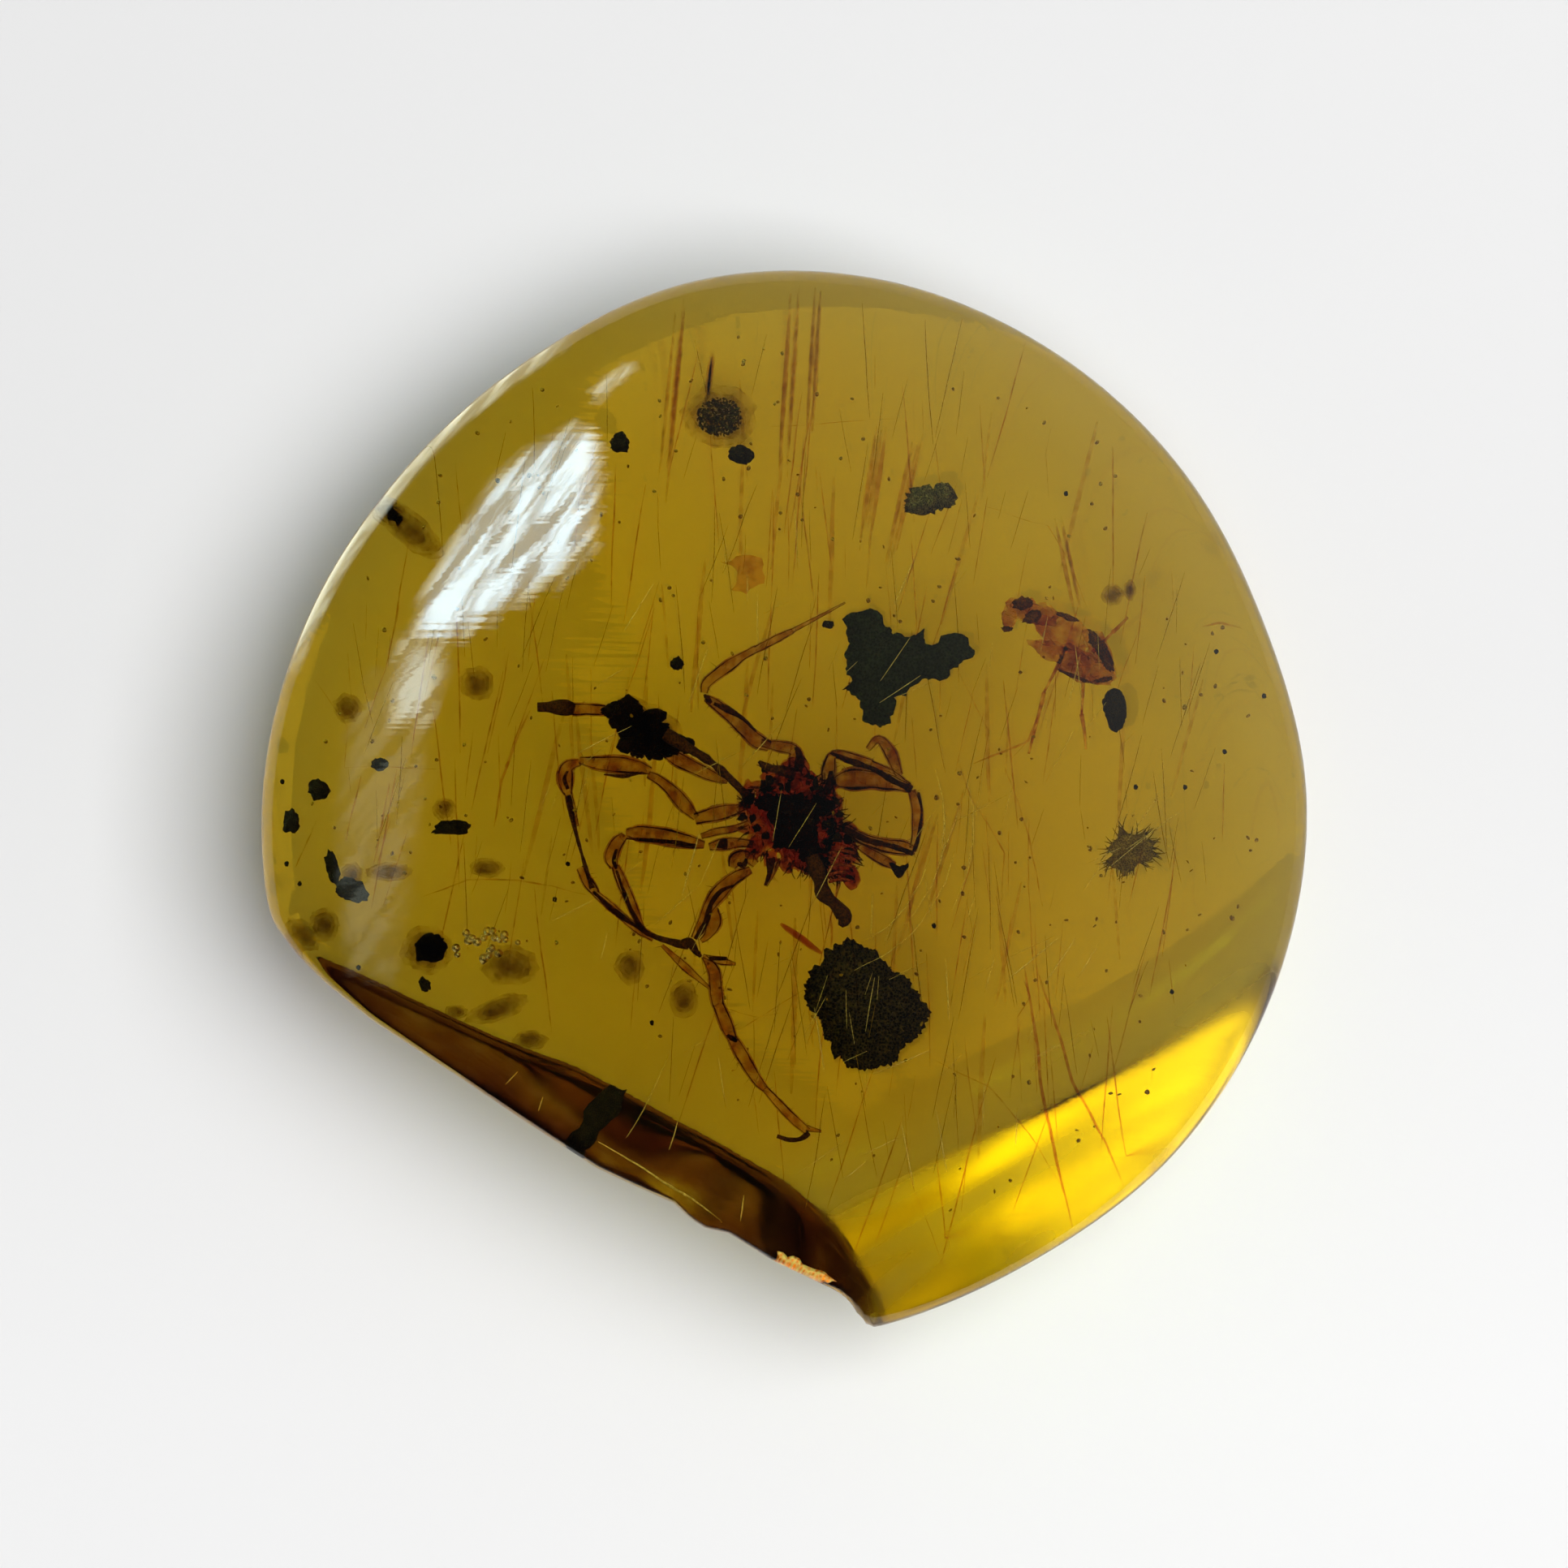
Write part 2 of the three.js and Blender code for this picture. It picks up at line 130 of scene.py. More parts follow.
def pebble_depth(p):
    """How far points lie outside the unbroken pebble, in millimetres; negative inside."""
    x, y, z = p.T
    rim = ring_value(RIM_RADII, np.arctan2(y, x))
    reach = np.hypot(x, y) / rim
    above = z > RIM_Z
    power = np.where(above, DOME_POWER, BELLY_POWER)
    height = np.where(above, DOME_HEIGHT, BELLY_HEIGHT)
    level = (z - RIM_Z) / height
    steep = np.hypot(power * reach ** (power - 1) / rim, 2 * level / height)
    return (reach ** power + level ** 2 - 1) / np.maximum(steep, 0.05)


def break_profile(u):
    """How far out the broken side's foot and lip stand, and how hollow it is, at u along it."""
    return [np.interp(u, *zip(*line)) for line in (BREAK_FOOT, BREAK_LIP, BREAK_HOLLOW)]


def break_depth(p):
    flat = p[:, :2] - BREAK_START
    u, v = flat @ BREAK_ALONG, flat @ BREAK_OUT
    foot, lip, hollow = break_profile(u)
    edge = BREAK_START + np.outer(u, BREAK_ALONG) + np.outer(lip, BREAK_OUT)
    lean = np.clip(p[:, 2] / dome_z(edge[:, 0], edge[:, 1]), 0, 1.2)
    lean += hollow * lean * (1 - np.minimum(lean, 1))
    return v - (foot + (lip - foot) * lean)


def bevel_depth(p):
    away = np.array((math.cos(BEVEL_AZIMUTH), math.sin(BEVEL_AZIMUTH)))
    aside = p[:, :2] @ (-away[1], away[0])
    bow, bow_start, bow_length = BEVEL_BOW
    start = BEVEL_START - bow * np.clip((aside - bow_start) / bow_length, 0, 1.2) ** 2
    return (p[:, :2] @ away - start) * math.sin(BEVEL_TILT) - p[:, 2] * math.cos(BEVEL_TILT)


def stone_depth(p):
    depth = smooth_max(pebble_depth(p), bevel_depth(p), EDGE_ROUNDING["bevel"])
    below = smooth_max(bevel_depth(p), -p[:, 2], EDGE_ROUNDING["bevel"])
    depth = smooth_max(depth, below, EDGE_ROUNDING["base"])
    return smooth_max(depth, break_depth(p), EDGE_ROUNDING["break"])


# ---- meshes and objects ----

def wrapped_cube(grid):
    """Corners and quads of a cube's grid, wrapped on a unit ball."""
    bm = bmesh.new()
    bmesh.ops.create_grid(bm, x_segments=grid, y_segments=grid, size=1.0)
    side = [Vector([math.tan(value * math.pi / 4) for value in v.co.xy]) for v in bm.verts]
    quads = [[v.index for v in f.verts] for f in bm.faces]
    bm.free()
    turns = (
        lambda x, y: (x, y, 1), lambda x, y: (x, -y, -1), lambda x, y: (1, x, y),
        lambda x, y: (-1, -x, y), lambda x, y: (-x, 1, y), lambda x, y: (x, -1, y))
    corners, faces = gather(([turn(*spot) for spot in side], quads) for turn in turns)
    corners = np.array(corners, float)
    return corners / np.linalg.norm(corners, axis=1)[:, None], faces


def gather(parts):
    """One set of corners and faces from several."""
    corners, faces = [], []
    for more_corners, more_faces in parts:
        faces += [[len(corners) + i for i in face] for face in more_faces]
        corners += [tuple(c) for c in more_corners]
    return corners, faces


def linked(name, data):
    obj = bpy.data.objects.new(name, data)
    bpy.context.scene.collection.objects.link(obj)
    return obj


def new_object(name, corners, faces, smooth=True):
    """A mesh object at the origin, from millimetres, with its doubles merged and its faces outward."""
    mesh = bpy.data.meshes.new(name)
    mesh.from_pydata([tuple(np.multiply(c, MM)) for c in corners], [], faces)
    bm = bmesh.new()
    bm.from_mesh(mesh)
    bmesh.ops.remove_doubles(bm, verts=bm.verts, dist=1e-8)
    bmesh.ops.recalc_face_normals(bm, faces=bm.faces)
    bm.to_mesh(mesh)
    bm.free()
    mesh.polygons.foreach_set("use_smooth", [smooth] * len(mesh.polygons))
    return linked(name, mesh)


def finish_piece(obj, material, slot, *nodes):
    obj.data.materials.clear()
    obj.data.materials.append(material)
    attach(obj, "root")
    if nodes:
        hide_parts(*nodes)


def build(name, parts, material, slot, *nodes):
    """Makes and finishes one piece from several sets of corners and faces."""
    finish_piece(new_object(name, *gather(parts)), material, slot, *nodes)


# ---- tubes, lumps and plates, in millimetres ----

def inside(x, y, h):
    """The place h above the parting plane that shows at (x, y) from above."""
    return sunk(x, y, PARTING_Z + h)


def wobble(place, scale, seed):
    """A smooth random offset of about one unit."""
    return noise.noise_vector(Vector(place) * scale + Vector((seed * 7.3, seed * 3.1, seed * 5.7)))


def curve_through(points, steps=4):
    """Smooth points through the given ones, with as many numbers in each."""
    points = np.array(points, float)
    ends = np.vstack((2 * points[0] - points[1], points, 2 * points[-1] - points[-2]))
    t = np.linspace(0, 1, steps, endpoint=False)[:, None]
    bows = [between(*near, t) for near in zip(ends, ends[1:], ends[2:], ends[3:])]
    return np.vstack((*bows, points[-1]))


def rings_along(path, radii, sides):
    path = np.array([tuple(p) for p in path], float)
    along = np.gradient(path, axis=0)
    along /= np.linalg.norm(along, axis=1)[:, None]
    side = np.cross((0, 0, 1), along)
    side /= np.linalg.norm(side, axis=1)[:, None]
    rise = np.cross(along, side)
    turn = np.linspace(0, 2 * math.pi, sides, endpoint=False)
    spokes = np.cos(turn)[None, :, None] * side[:, None] + np.sin(turn)[None, :, None] * rise[:, None]
    return path[:, None] + spokes * np.asarray(radii, float)[:, None, None]


def joined_rings(rings, closed):
    """Faces between rings; a closed set joins its last ring to its first, an open one has end faces."""
    count, sides = rings.shape[:2]
    corner = np.arange(count * sides).reshape(count, sides)
    faces = []
    for i in range(count if closed else count - 1):
        near, far = corner[i], corner[(i + 1) % count]
        faces += [[near[k], near[(k + 1) % sides], far[(k + 1) % sides], far[k]] for k in range(sides)]
    if not closed:
        faces += [list(corner[0]), list(corner[-1])]
    return rings.reshape(-1, 3), [[int(i) for i in face] for face in faces]


def rod(path, radii, sides=6):
    return joined_rings(rings_along(path, radii, sides), closed=False)


def pipe(path, radii, wall, sides=12):
    """A hollow tube: its outer and inner skin, joined at both ends."""
    radii = np.asarray(radii, float)
    outer = rings_along(path, radii, sides)
    inner = rings_along(path, np.maximum(radii - wall, 0.2 * radii), sides)
    return joined_rings(np.concatenate((outer, inner[::-1])), closed=True)


def lump(centre, size, rough=0.15, grain=2.0, seed=0, detail=3, girth=None):
    """A ball drawn out to `size`, or to the outline `girth` seen from above, with an uneven skin."""
    bm = bmesh.new()
    bmesh.ops.create_icosphere(bm, subdivisions=detail, radius=1)
    apart = Vector((seed * 3.7, seed * 1.9, seed * 2.3))
    corners = []
    for vert in bm.verts:
        c = vert.co
        wide, deep = (ring_value(girth, math.atan2(c.y, c.x)),) * 2 if girth else size[:2]
        uneven = 1 + rough * noise.fractal(c * grain + apart, 0.7, 2.1, 4)
        corners.append(Vector(centre) + Vector((c.x * wide, c.y * deep, c.z * size[2])) * uneven)
    faces = [[v.index for v in face.verts] for face in bm.faces]
    bm.free()
    return corners, faces


def ragged(edge, splits, amount, seed):
    """An outline with its sides split and its new points moved at random."""
    rng = np.random.default_rng(seed)
    points = [np.array(p, float) for p in edge]
    for _ in range(splits):
        longer = []
        for a, b in zip(points, points[1:] + points[:1]):
            side = b - a
            away = np.array((side[1], -side[0]))
            longer += [a, (a + b) / 2 + away * rng.uniform(-amount, amount)]
        points = longer
    return points


def within(edge, x, y):
    """Whether a point lies in an outline."""
    crossings = 0
    for (ax, ay), (bx, by) in zip(edge, edge[1:] + edge[:1]):
        crossings += (ay > y) != (by > y) and x < (bx - ax) * (y - ay) / (by - ay) + ax
    return crossings % 2 == 1


def crumbs(edge, count, radii, h, depth, seed):
    """Small rough lumps scattered in an outline."""
    rng = np.random.default_rng(seed)
    low, high = np.min(edge, 0), np.max(edge, 0)
    made = []
    while len(made) < count:
        x, y = rng.uniform(low, high)
        if within(edge, x, y):
            r = rng.uniform(*radii)
            place = inside(x, y, h + rng.uniform(-depth, depth))
            size = r * rng.uniform(0.6, 1.3, 3)
            made.append(lump(place, size, rough=0.5, grain=1.8, seed=len(made), detail=2))
    return made


def fringe(edge, count, length, radius, h, seed):
    """Short bent rods that stand out round an outline."""
    rng = np.random.default_rng(seed)
    middle = np.mean(edge, 0)
    made = []
    for _ in range(count):
        i = rng.integers(len(edge))
        t = rng.random()
        start = np.array(edge[i]) * (1 - t) + np.array(edge[(i + 1) % len(edge)]) * t
        out = (start - middle) / np.linalg.norm(start - middle)
        side = np.array((-out[1], out[0])) * rng.uniform(-0.7, 0.7)
        reach = rng.uniform(*length)
        spots = [start + (out * (k - 0.5) + side * k * k) * reach for k in np.linspace(0, 1, 6)]
        path = [inside(*spot, h + 0.15 * k) for k, spot in enumerate(spots, -3)]
        made.append(rod(path, np.linspace(radius, 0.3 * radius, 6), 5))
    return made


def plate(edge, h, thick, lean=0.0, crumple=0.05, seed=0, splits=2, amount=0.16):
    """A thin crumpled plate with a ragged edge."""
    outline = [inside(x, y, h) for x, y in ragged(edge, splits, amount, seed)]
    middle = sum(p.x for p in outline) / len(outline)
    bm = bmesh.new()
    face = bm.faces.new([bm.verts.new(p) for p in outline])
    bmesh.ops.triangulate(bm, faces=[face])
    bmesh.ops.subdivide_edges(bm, edges=bm.edges[:], cuts=2, use_grid_fill=True)
    for vert in bm.verts:
        vert.co.z += lean * (vert.co.x - middle) + crumple * noise.fractal(vert.co * 1.7, 0.8, 2.0, 4)
    bmesh.ops.solidify(bm, geom=bm.faces[:], thickness=thick)
    bm.verts.index_update()
    corners = [v.co.copy() for v in bm.verts]
    faces = [[v.index for v in face.verts] for face in bm.faces]
    bm.free()
    return corners, faces


# ---- node helpers ----

def add_node(tree, kind, inputs=None, **settings):
    """A node with its settings, and its inputs set to values or linked to other nodes' outputs."""
    node = tree.nodes.new(kind)
    for name, value in settings.items():
        setattr(node, name, value)
    for socket, value in (inputs or {}).items():
        if isinstance(value, bpy.types.NodeSocket):
            tree.links.new(value, node.inputs[socket])
        else:
            node.inputs[socket].default_value = value
    return node


def maths(tree, operation, *values):
    return add_node(tree, "ShaderNodeMath", dict(enumerate(values)), operation=operation).outputs[0]


def vector_maths(tree, operation, *vectors):
    """A number for a length or a dot product, and a vector for any other operation."""
    node = add_node(tree, "ShaderNodeVectorMath", dict(enumerate(vectors)), operation=operation)
    return node.outputs["Value" if operation in ("LENGTH", "DOT_PRODUCT") else "Vector"]


def scaled(tree, vector, factor):
    both = {0: vector, "Scale": factor}
    return add_node(tree, "ShaderNodeVectorMath", both, operation="SCALE").outputs[0]


def remapped(tree, value, low, high, to_low=0.0, to_high=1.0):
    """A value between `low` and `high`, brought between `to_low` and `to_high`."""
    ends = {"Value": value, "From Min": low, "From Max": high, "To Min": to_low, "To Max": to_high}
    return add_node(tree, "ShaderNodeMapRange", ends).outputs["Result"]


def blended(tree, share, first, second):
    """A colour, part of the way from the first to the second."""
    ends = {"Factor": share, 6: first, 7: second}
    return add_node(tree, "ShaderNodeMix", ends, data_type="RGBA").outputs[2]


def noise_at(tree, scale, detail, place=None):
    """A noise texture's outputs."""
    where = {} if place is None else {"Vector": place}
    return add_node(tree, "ShaderNodeTexNoise", {**where, "Scale": scale, "Detail": detail}).outputs


def new_tree(name, kind, inputs, outputs):
    """A node group with named sockets, the outputs of its input node, and its output node."""
    tree = bpy.data.node_groups.new(name, kind)
    for label, (socket, default) in inputs.items():
        made = tree.interface.new_socket(label, in_out="INPUT", socket_type="NodeSocket" + socket)
        if default is not None:
            made.default_value = default
    for label, socket in outputs.items():
        tree.interface.new_socket(label, in_out="OUTPUT", socket_type="NodeSocket" + socket)
    given = tree.nodes.new("NodeGroupInput").outputs
    return tree, given, tree.nodes.new("NodeGroupOutput")


def give(tree, node, **sources):
    """Links outputs to a node's inputs of these names, and returns the tree."""
    for label, source in sources.items():
        tree.links.new(source, node.inputs[label.replace("_", " ")])
    return tree


# ---- materials ----

def millimetres(tree):
    """Object coordinates in millimetres."""
    return scaled(tree, add_node(tree, "ShaderNodeTexCoord").outputs["Object"], 1 / MM)


def weathered_group():
    """Two colours in blotches, with fine grain; the scale is in blotches per millimetre."""
    tree, given, out = new_tree(
        "weathered", "ShaderNodeTree",
        {"Dark": ("Color", (0, 0, 0, 1)), "Light": ("Color", (1, 1, 1, 1)), "Scale": ("Float", 2.0)},
        {"Color": "Color", "Roughness": "Float", "Height": "Float"})
    place = millimetres(tree)
    blotches = noise_at(tree, given["Scale"], 6.0, place)["Fac"]
    finer = maths(tree, "MULTIPLY", given["Scale"], 7.0)
    grains = add_node(tree, "ShaderNodeTexVoronoi", {"Vector": place, "Scale": finer}).outputs["Distance"]
    height = maths(tree, "MULTIPLY", blotches, grains)
    share = remapped(tree, height, 0.1, 0.42)
    colour = blended(tree, share, given["Dark"], given["Light"])
    return give(tree, out, Color=colour, Roughness=remapped(tree, share, 0, 1, 0.45, 0.8), Height=height)


def stained_group():
    """A clear tint with darker stains, for thin cuticle."""
    tree, given, out = new_tree(
        "stained", "ShaderNodeTree",
        {"Clear": ("Color", (1, 1, 1, 1)), "Stain": ("Color", (0, 0, 0, 1)), "Scale": ("Float", 2.0)},
        {"Color": "Color"})
    stains = noise_at(tree, given["Scale"], 4.0, millimetres(tree))["Fac"]
    share = remapped(tree, stains, 0.42, 0.66)
    return give(tree, out, Color=blended(tree, share, given["Clear"], given["Stain"]))


def polish_group():
    """The height of the low waves and fine streaks that hand polishing leaves."""
    tree, given, out = new_tree(
        "polish", "ShaderNodeTree",
        {"Waves": ("Float", 1.0), "Streaks": ("Float", 0.1)}, {"Height": "Float"})
    place = millimetres(tree)
    waves = noise_at(tree, 0.45, 0.0, place)["Fac"]
    drawn = add_node(tree, "ShaderNodeMapping", {
        "Vector": place, "Rotation": (0, 0, -0.85), "Scale": (0.35, 7, 1)})
    streaks = noise_at(tree, 1.0, 1.0, drawn.outputs[0])["Fac"]
    low = maths(tree, "MULTIPLY", waves, given["Waves"])
    return give(tree, out, Height=maths(tree, "MULTIPLY_ADD", streaks, given["Streaks"], low))


def shared_group(name):
    """A shader node group, made the first time that it is asked for."""
    makers = {"weathered": weathered_group, "stained": stained_group, "polish": polish_group}
    return bpy.data.node_groups.get(name) or makers[name]()


def grouped(tree, name, **values):
    node = add_node(tree, "ShaderNodeGroup", node_tree=shared_group(name))
    for label, value in values.items():
        node.inputs[label.capitalize()].default_value = value
    return node.outputs


def new_material(name):
    material = bpy.data.materials.new(name)
    material.use_nodes = True
    tree = material.node_tree
    tree.nodes.clear()
    out = add_node(tree, "ShaderNodeOutputMaterial")
    shader = add_node(tree, "ShaderNodeBsdfPrincipled")
    tree.links.new(shader.outputs[0], out.inputs["Surface"])
    return material, tree, shader, out


# The dark and the light colour, blotches per millimetre, and the relief in millimetres.
OPAQUE_LOOKS = {
    "bristle": ((0.02, 0.006, 0.001), (0.05, 0.018, 0.004), 2.0, 0.05),
    "body": ((0.001, 0.0006, 0.0004), (0.012, 0.003, 0.0015), 3.0, 0.05),
    "tissue": ((0.016, 0.004, 0.0005), (0.07, 0.022, 0.003), 3.0, 0.05),
    "ribs": ((0.05, 0.006, 0.002), (0.3, 0.05, 0.025), 3.0, 0.05),
    "leaf": ((0.003, 0.005, 0.003), (0.013, 0.017, 0.012), 2.5, 0.05),
    "wood": ((0.001, 0.0008, 0.0005), (0.06, 0.044, 0.02), 2.2, 0.2),
    "insect_tissue": ((0.03, 0.005, 0.001), (0.14, 0.04, 0.008), 4.0, 0.05),
    "spiky": ((0.05, 0.03, 0.006), (0.24, 0.16, 0.04), 4.0, 0.05),
    "grain": ((0.002, 0.0018, 0.0012), (0.02, 0.014, 0.006), 5.0, 0.05),
    "clump": ((0.004, 0.004, 0.003), (0.2, 0.17, 0.1), 4.0, 0.1),
    "dust": ((0.01, 0.008, 0.002), (0.05, 0.038, 0.008), 5.0, 0.05),
    "speck": ((0.15, 0.085, 0.006), (0.36, 0.22, 0.02), 3.0, 0.05),
    "gold_thread": ((0.36, 0.26, 0.06), (0.7, 0.55, 0.2), 3.0, 0.05),
    "dark_speck": ((0.002, 0.0018, 0.0012), (0.02, 0.014, 0.006), 5.0, 0.05),
    # painted glint: a bright orange metal flake under the break stands in for light caught there
    "break_flake": ((1, 0.28, 0.01), (1, 0.85, 0.35), 2.0, 0.03),
}
# The clear and the stained colour, stains per millimetre, and the index of refraction.
CLEAR_LOOKS = {
    # painted shade: the brown layer under the break
    "shade_rind": ((1, 1, 1), (0.8, 0.7, 0.5), 1.5, 1.0),
    "cuticle": ((1, 0.95, 0.85), (0.72, 0.45, 0.2), 3.0, 1.02),
    "flesh": ((1, 0.8, 0.7), (0.6, 0.2, 0.1), 3.0, 1.02),
    "insect": ((1, 0.9, 0.75), (0.6, 0.25, 0.1), 3.0, 1.02),
    "flake": ((1, 0.85, 0.6), (0.6, 0.35, 0.1), 3.0, 1.02),
    "smudge": ((1, 1, 1), (0.75, 0.68, 0.5), 4.0, 1.0),
    "veil": ((1, 1, 1), (0.85, 0.78, 0.6), 4.0, 1.0),
    "hair": ((1, 1, 1), (0.8, 0.65, 0.4), 3.0, 1.0),
    "bubble": ((1, 1, 1), (0.9, 0.88, 0.8), 4.0, 1 / AMBER_INDEX),
}


def opaque_material(name):
    """A matt surface in two colours."""
    dark, light, scale, relief = OPAQUE_LOOKS[name]
    material, tree, shader, out = new_material(name)
    look = grouped(tree, "weathered", dark=(*dark, 1), light=(*light, 1), scale=scale)
    bump = add_node(tree, "ShaderNodeBump", {"Height": look["Height"], "Distance": relief * MM})
    give(tree, shader, Base_Color=look["Color"], Roughness=look["Roughness"], Normal=bump.outputs[0])
    shader.inputs["Specular IOR Level"].default_value = 0.04
    return material


def make_clear(tree, shader, out, uptake, index):
    shader.inputs["Roughness"].default_value = 0.0
    shader.inputs["Transmission Weight"].default_value = 1.0
    shader.inputs["IOR"].default_value = index
    most = max(uptake)
    if most:
        body = add_node(tree, "ShaderNodeVolumeAbsorption", {
            "Color": (*(1 - value / most for value in uptake), 1), "Density": most / MM})
        give(tree, out, Volume=body.outputs[0])


def clear_material(name, look, uptake):
    """See-through matter: `uptake` is what red, green and blue light lose per millimetre."""
    clear, stain, scale, index = CLEAR_LOOKS[look]
    material, tree, shader, out = new_material(name)
    tint = grouped(tree, "stained", clear=(*clear, 1), stain=(*stain, 1), scale=scale)["Color"]
    give(tree, shader, Base_Color=tint)
    make_clear(tree, shader, out, uptake, index)
    return material


def amber_material(stone):
    material, tree, shader, out = new_material("amber")
    shader.inputs["Base Color"].default_value = (1, 1, 1, 1)
    height = grouped(tree, "polish", waves=stone.waves, streaks=stone.streaks)["Height"]
    bump = add_node(tree, "ShaderNodeBump", {"Height": height, "Distance": 0.01 * MM})
    make_clear(tree, shader, out, stone.uptake, AMBER_INDEX)
    matt = add_node(tree, "ShaderNodeAttribute", attribute_name="matt").outputs["Fac"]
    give(tree, shader, Normal=bump.outputs[0], Roughness=matt)
    return material


# ---- things that grow, scatter or follow a path ----

SCATTER_INPUTS = {
    "Count": ("Int", 100), "Centre": ("Vector", (0, 0, 0)), "Half size": ("Vector", (0.01, 0.01, 0.001)),
    "Seed": ("Int", 1), "Reach to break": ("Float", 6.3 * MM),
}
BREAK_OUTWARD = (-0.5587, -0.8295, 0)


def new_grower(name, inputs):
    """A geometry node tree that takes and gives geometry, and ends by setting its material."""
    inputs = {"Geometry": ("Geometry", None), **inputs, "Material": ("Material", None)}
    return new_tree(name, "GeometryNodeTree", inputs, {"Geometry": "Geometry"})


def end_grower(tree, given, out, geometry):
    real = add_node(tree, "GeometryNodeRealizeInstances", {"Geometry": geometry}).outputs[0]
    done = add_node(tree, "GeometryNodeSetMaterial", {"Geometry": real, "Material": given["Material"]})
    return give(tree, out, Geometry=done.outputs[0])


def random_value(tree, kind, low, high, seed):
    """A random number or vector for each point."""
    first, result = {"FLOAT_VECTOR": (0, 0), "FLOAT": (2, 1)}[kind]
    node = add_node(
        tree, "FunctionNodeRandomValue", {first: low, first + 1: high, "Seed": seed}, data_type=kind)
    return node.outputs[result]


def shaken(tree, geometry, scale, detail, amount):
    """Points moved by smooth noise of this scale."""
    centred = vector_maths(tree, "SUBTRACT", noise_at(tree, scale, detail)["Color"], (0.5, 0.5, 0.5))
    shift = scaled(tree, centred, amount)
    return add_node(tree, "GeometryNodeSetPosition", {"Geometry": geometry, "Offset": shift}).outputs[0]


def named_thickness(tree):
    return add_node(
        tree, "GeometryNodeInputNamedAttribute", {"Name": "thickness"}, data_type="FLOAT").outputs[0]


def wander_and_skin(tree, given, curve):
    """Curves bent at random, and made into tapering round threads as thick as their points' thickness."""
    bent = shaken(tree, curve, given["Waviness"], 2.0, given["Wander"])
    along = add_node(tree, "GeometryNodeSplineParameter").outputs["Factor"]
    arch = maths(tree, "MAXIMUM", maths(tree, "SINE", maths(tree, "MULTIPLY", along, math.pi)), 0.05)
    girth = maths(tree, "MULTIPLY", maths(tree, "POWER", arch, 0.35), named_thickness(tree))
    ring = add_node(tree, "GeometryNodeCurvePrimitiveCircle", {"Resolution": 5, "Radius": 1.0}).outputs[0]
    return add_node(tree, "GeometryNodeCurveToMesh", {
        "Curve": bent, "Profile Curve": ring, "Scale": girth, "Fill Caps": True}).outputs[0]


def thread_grower():
    """Skins the edges of a mesh."""
    tree, given, out = new_grower("threads", {
        "Step": ("Float", 0.1 * MM), "Wander": ("Float", 0.05 * MM), "Waviness": ("Float", 900.0)})
    curve = add_node(tree, "GeometryNodeMeshToCurve", {"Mesh": given["Geometry"]}).outputs[0]
    steps = {"Curve": curve, "Length": given["Step"]}
    fine = add_node(tree, "GeometryNodeResampleCurve", steps, mode="LENGTH").outputs[0]
    return end_grower(tree, given, out, wander_and_skin(tree, given, fine))


def scattered(tree, given, shape, size, turn):
    """Copies of a shape, at random in an upright elliptic cylinder and clear of the broken side."""
    centre, half = given["Centre"], given["Half size"]
    low, high = vector_maths(tree, "SUBTRACT", centre, half), vector_maths(tree, "ADD", centre, half)
    place = random_value(tree, "FLOAT_VECTOR", low, high, given["Seed"])
    points = add_node(tree, "GeometryNodePoints", {"Count": given["Count"], "Position": place}).outputs[0]
    here = add_node(tree, "GeometryNodeInputPosition").outputs[0]
    share = vector_maths(tree, "DIVIDE", vector_maths(tree, "SUBTRACT", here, centre), half)
    reach = vector_maths(tree, "LENGTH", vector_maths(tree, "MULTIPLY", share, (1, 1, 0)))
    toward = vector_maths(tree, "DOT_PRODUCT", here, BREAK_OUTWARD)
    outside, beyond = (
        add_node(tree, "FunctionNodeCompare", {0: value, 1: limit}, operation="GREATER_THAN").outputs[0]
        for value, limit in ((reach, 1.0), (toward, given["Reach to break"])))
    lost = add_node(tree, "FunctionNodeBooleanMath", {0: outside, 1: beyond}, operation="OR").outputs[0]
    kept = add_node(tree, "GeometryNodeDeleteGeometry", {"Geometry": points, "Selection": lost}).outputs[0]
    return add_node(tree, "GeometryNodeInstanceOnPoints", {
        "Points": kept, "Instance": shape, "Rotation": turn, "Scale": size}).outputs[0]


def fibre_grower():
    """Scatters bent fibres that lie roughly along one direction."""
    tree, given, out = new_grower("fibres", {
        **SCATTER_INPUTS, "Shortest": ("Float", 0.5 * MM), "Longest": ("Float", 3 * MM),
        "Thinnest": ("Float", 0.01 * MM), "Thickest": ("Float", 0.02 * MM),
        "Turned least": ("Vector", (-0.05, 0, -0.2)), "Turned most": ("Vector", (0.05, 0, 0.2)),
        "Wander": ("Float", 0.2 * MM), "Waviness": ("Float", 300.0)})
    line = add_node(tree, "GeometryNodeCurvePrimitiveLine", {"Start": (0, -0.5, 0), "End": (0, 0.5, 0)})
    line = add_node(tree, "GeometryNodeResampleCurve", {"Curve": line.outputs[0], "Count": 12}).outputs[0]
    turn = random_value(tree, "FLOAT_VECTOR", given["Turned least"], given["Turned most"], given["Seed"])
    length = random_value(tree, "FLOAT", given["Shortest"], given["Longest"], given["Seed"])
    girth = random_value(tree, "FLOAT", given["Thinnest"], given["Thickest"], given["Seed"])
    marked = add_node(tree, "GeometryNodeStoreNamedAttribute", {
        "Geometry": scattered(tree, given, line, length, turn), "Name": "thickness", "Value": girth},
        data_type="FLOAT", domain="INSTANCE").outputs[0]
    real = add_node(tree, "GeometryNodeRealizeInstances", {"Geometry": marked}).outputs[0]
    return end_grower(tree, given, out, wander_and_skin(tree, given, real))


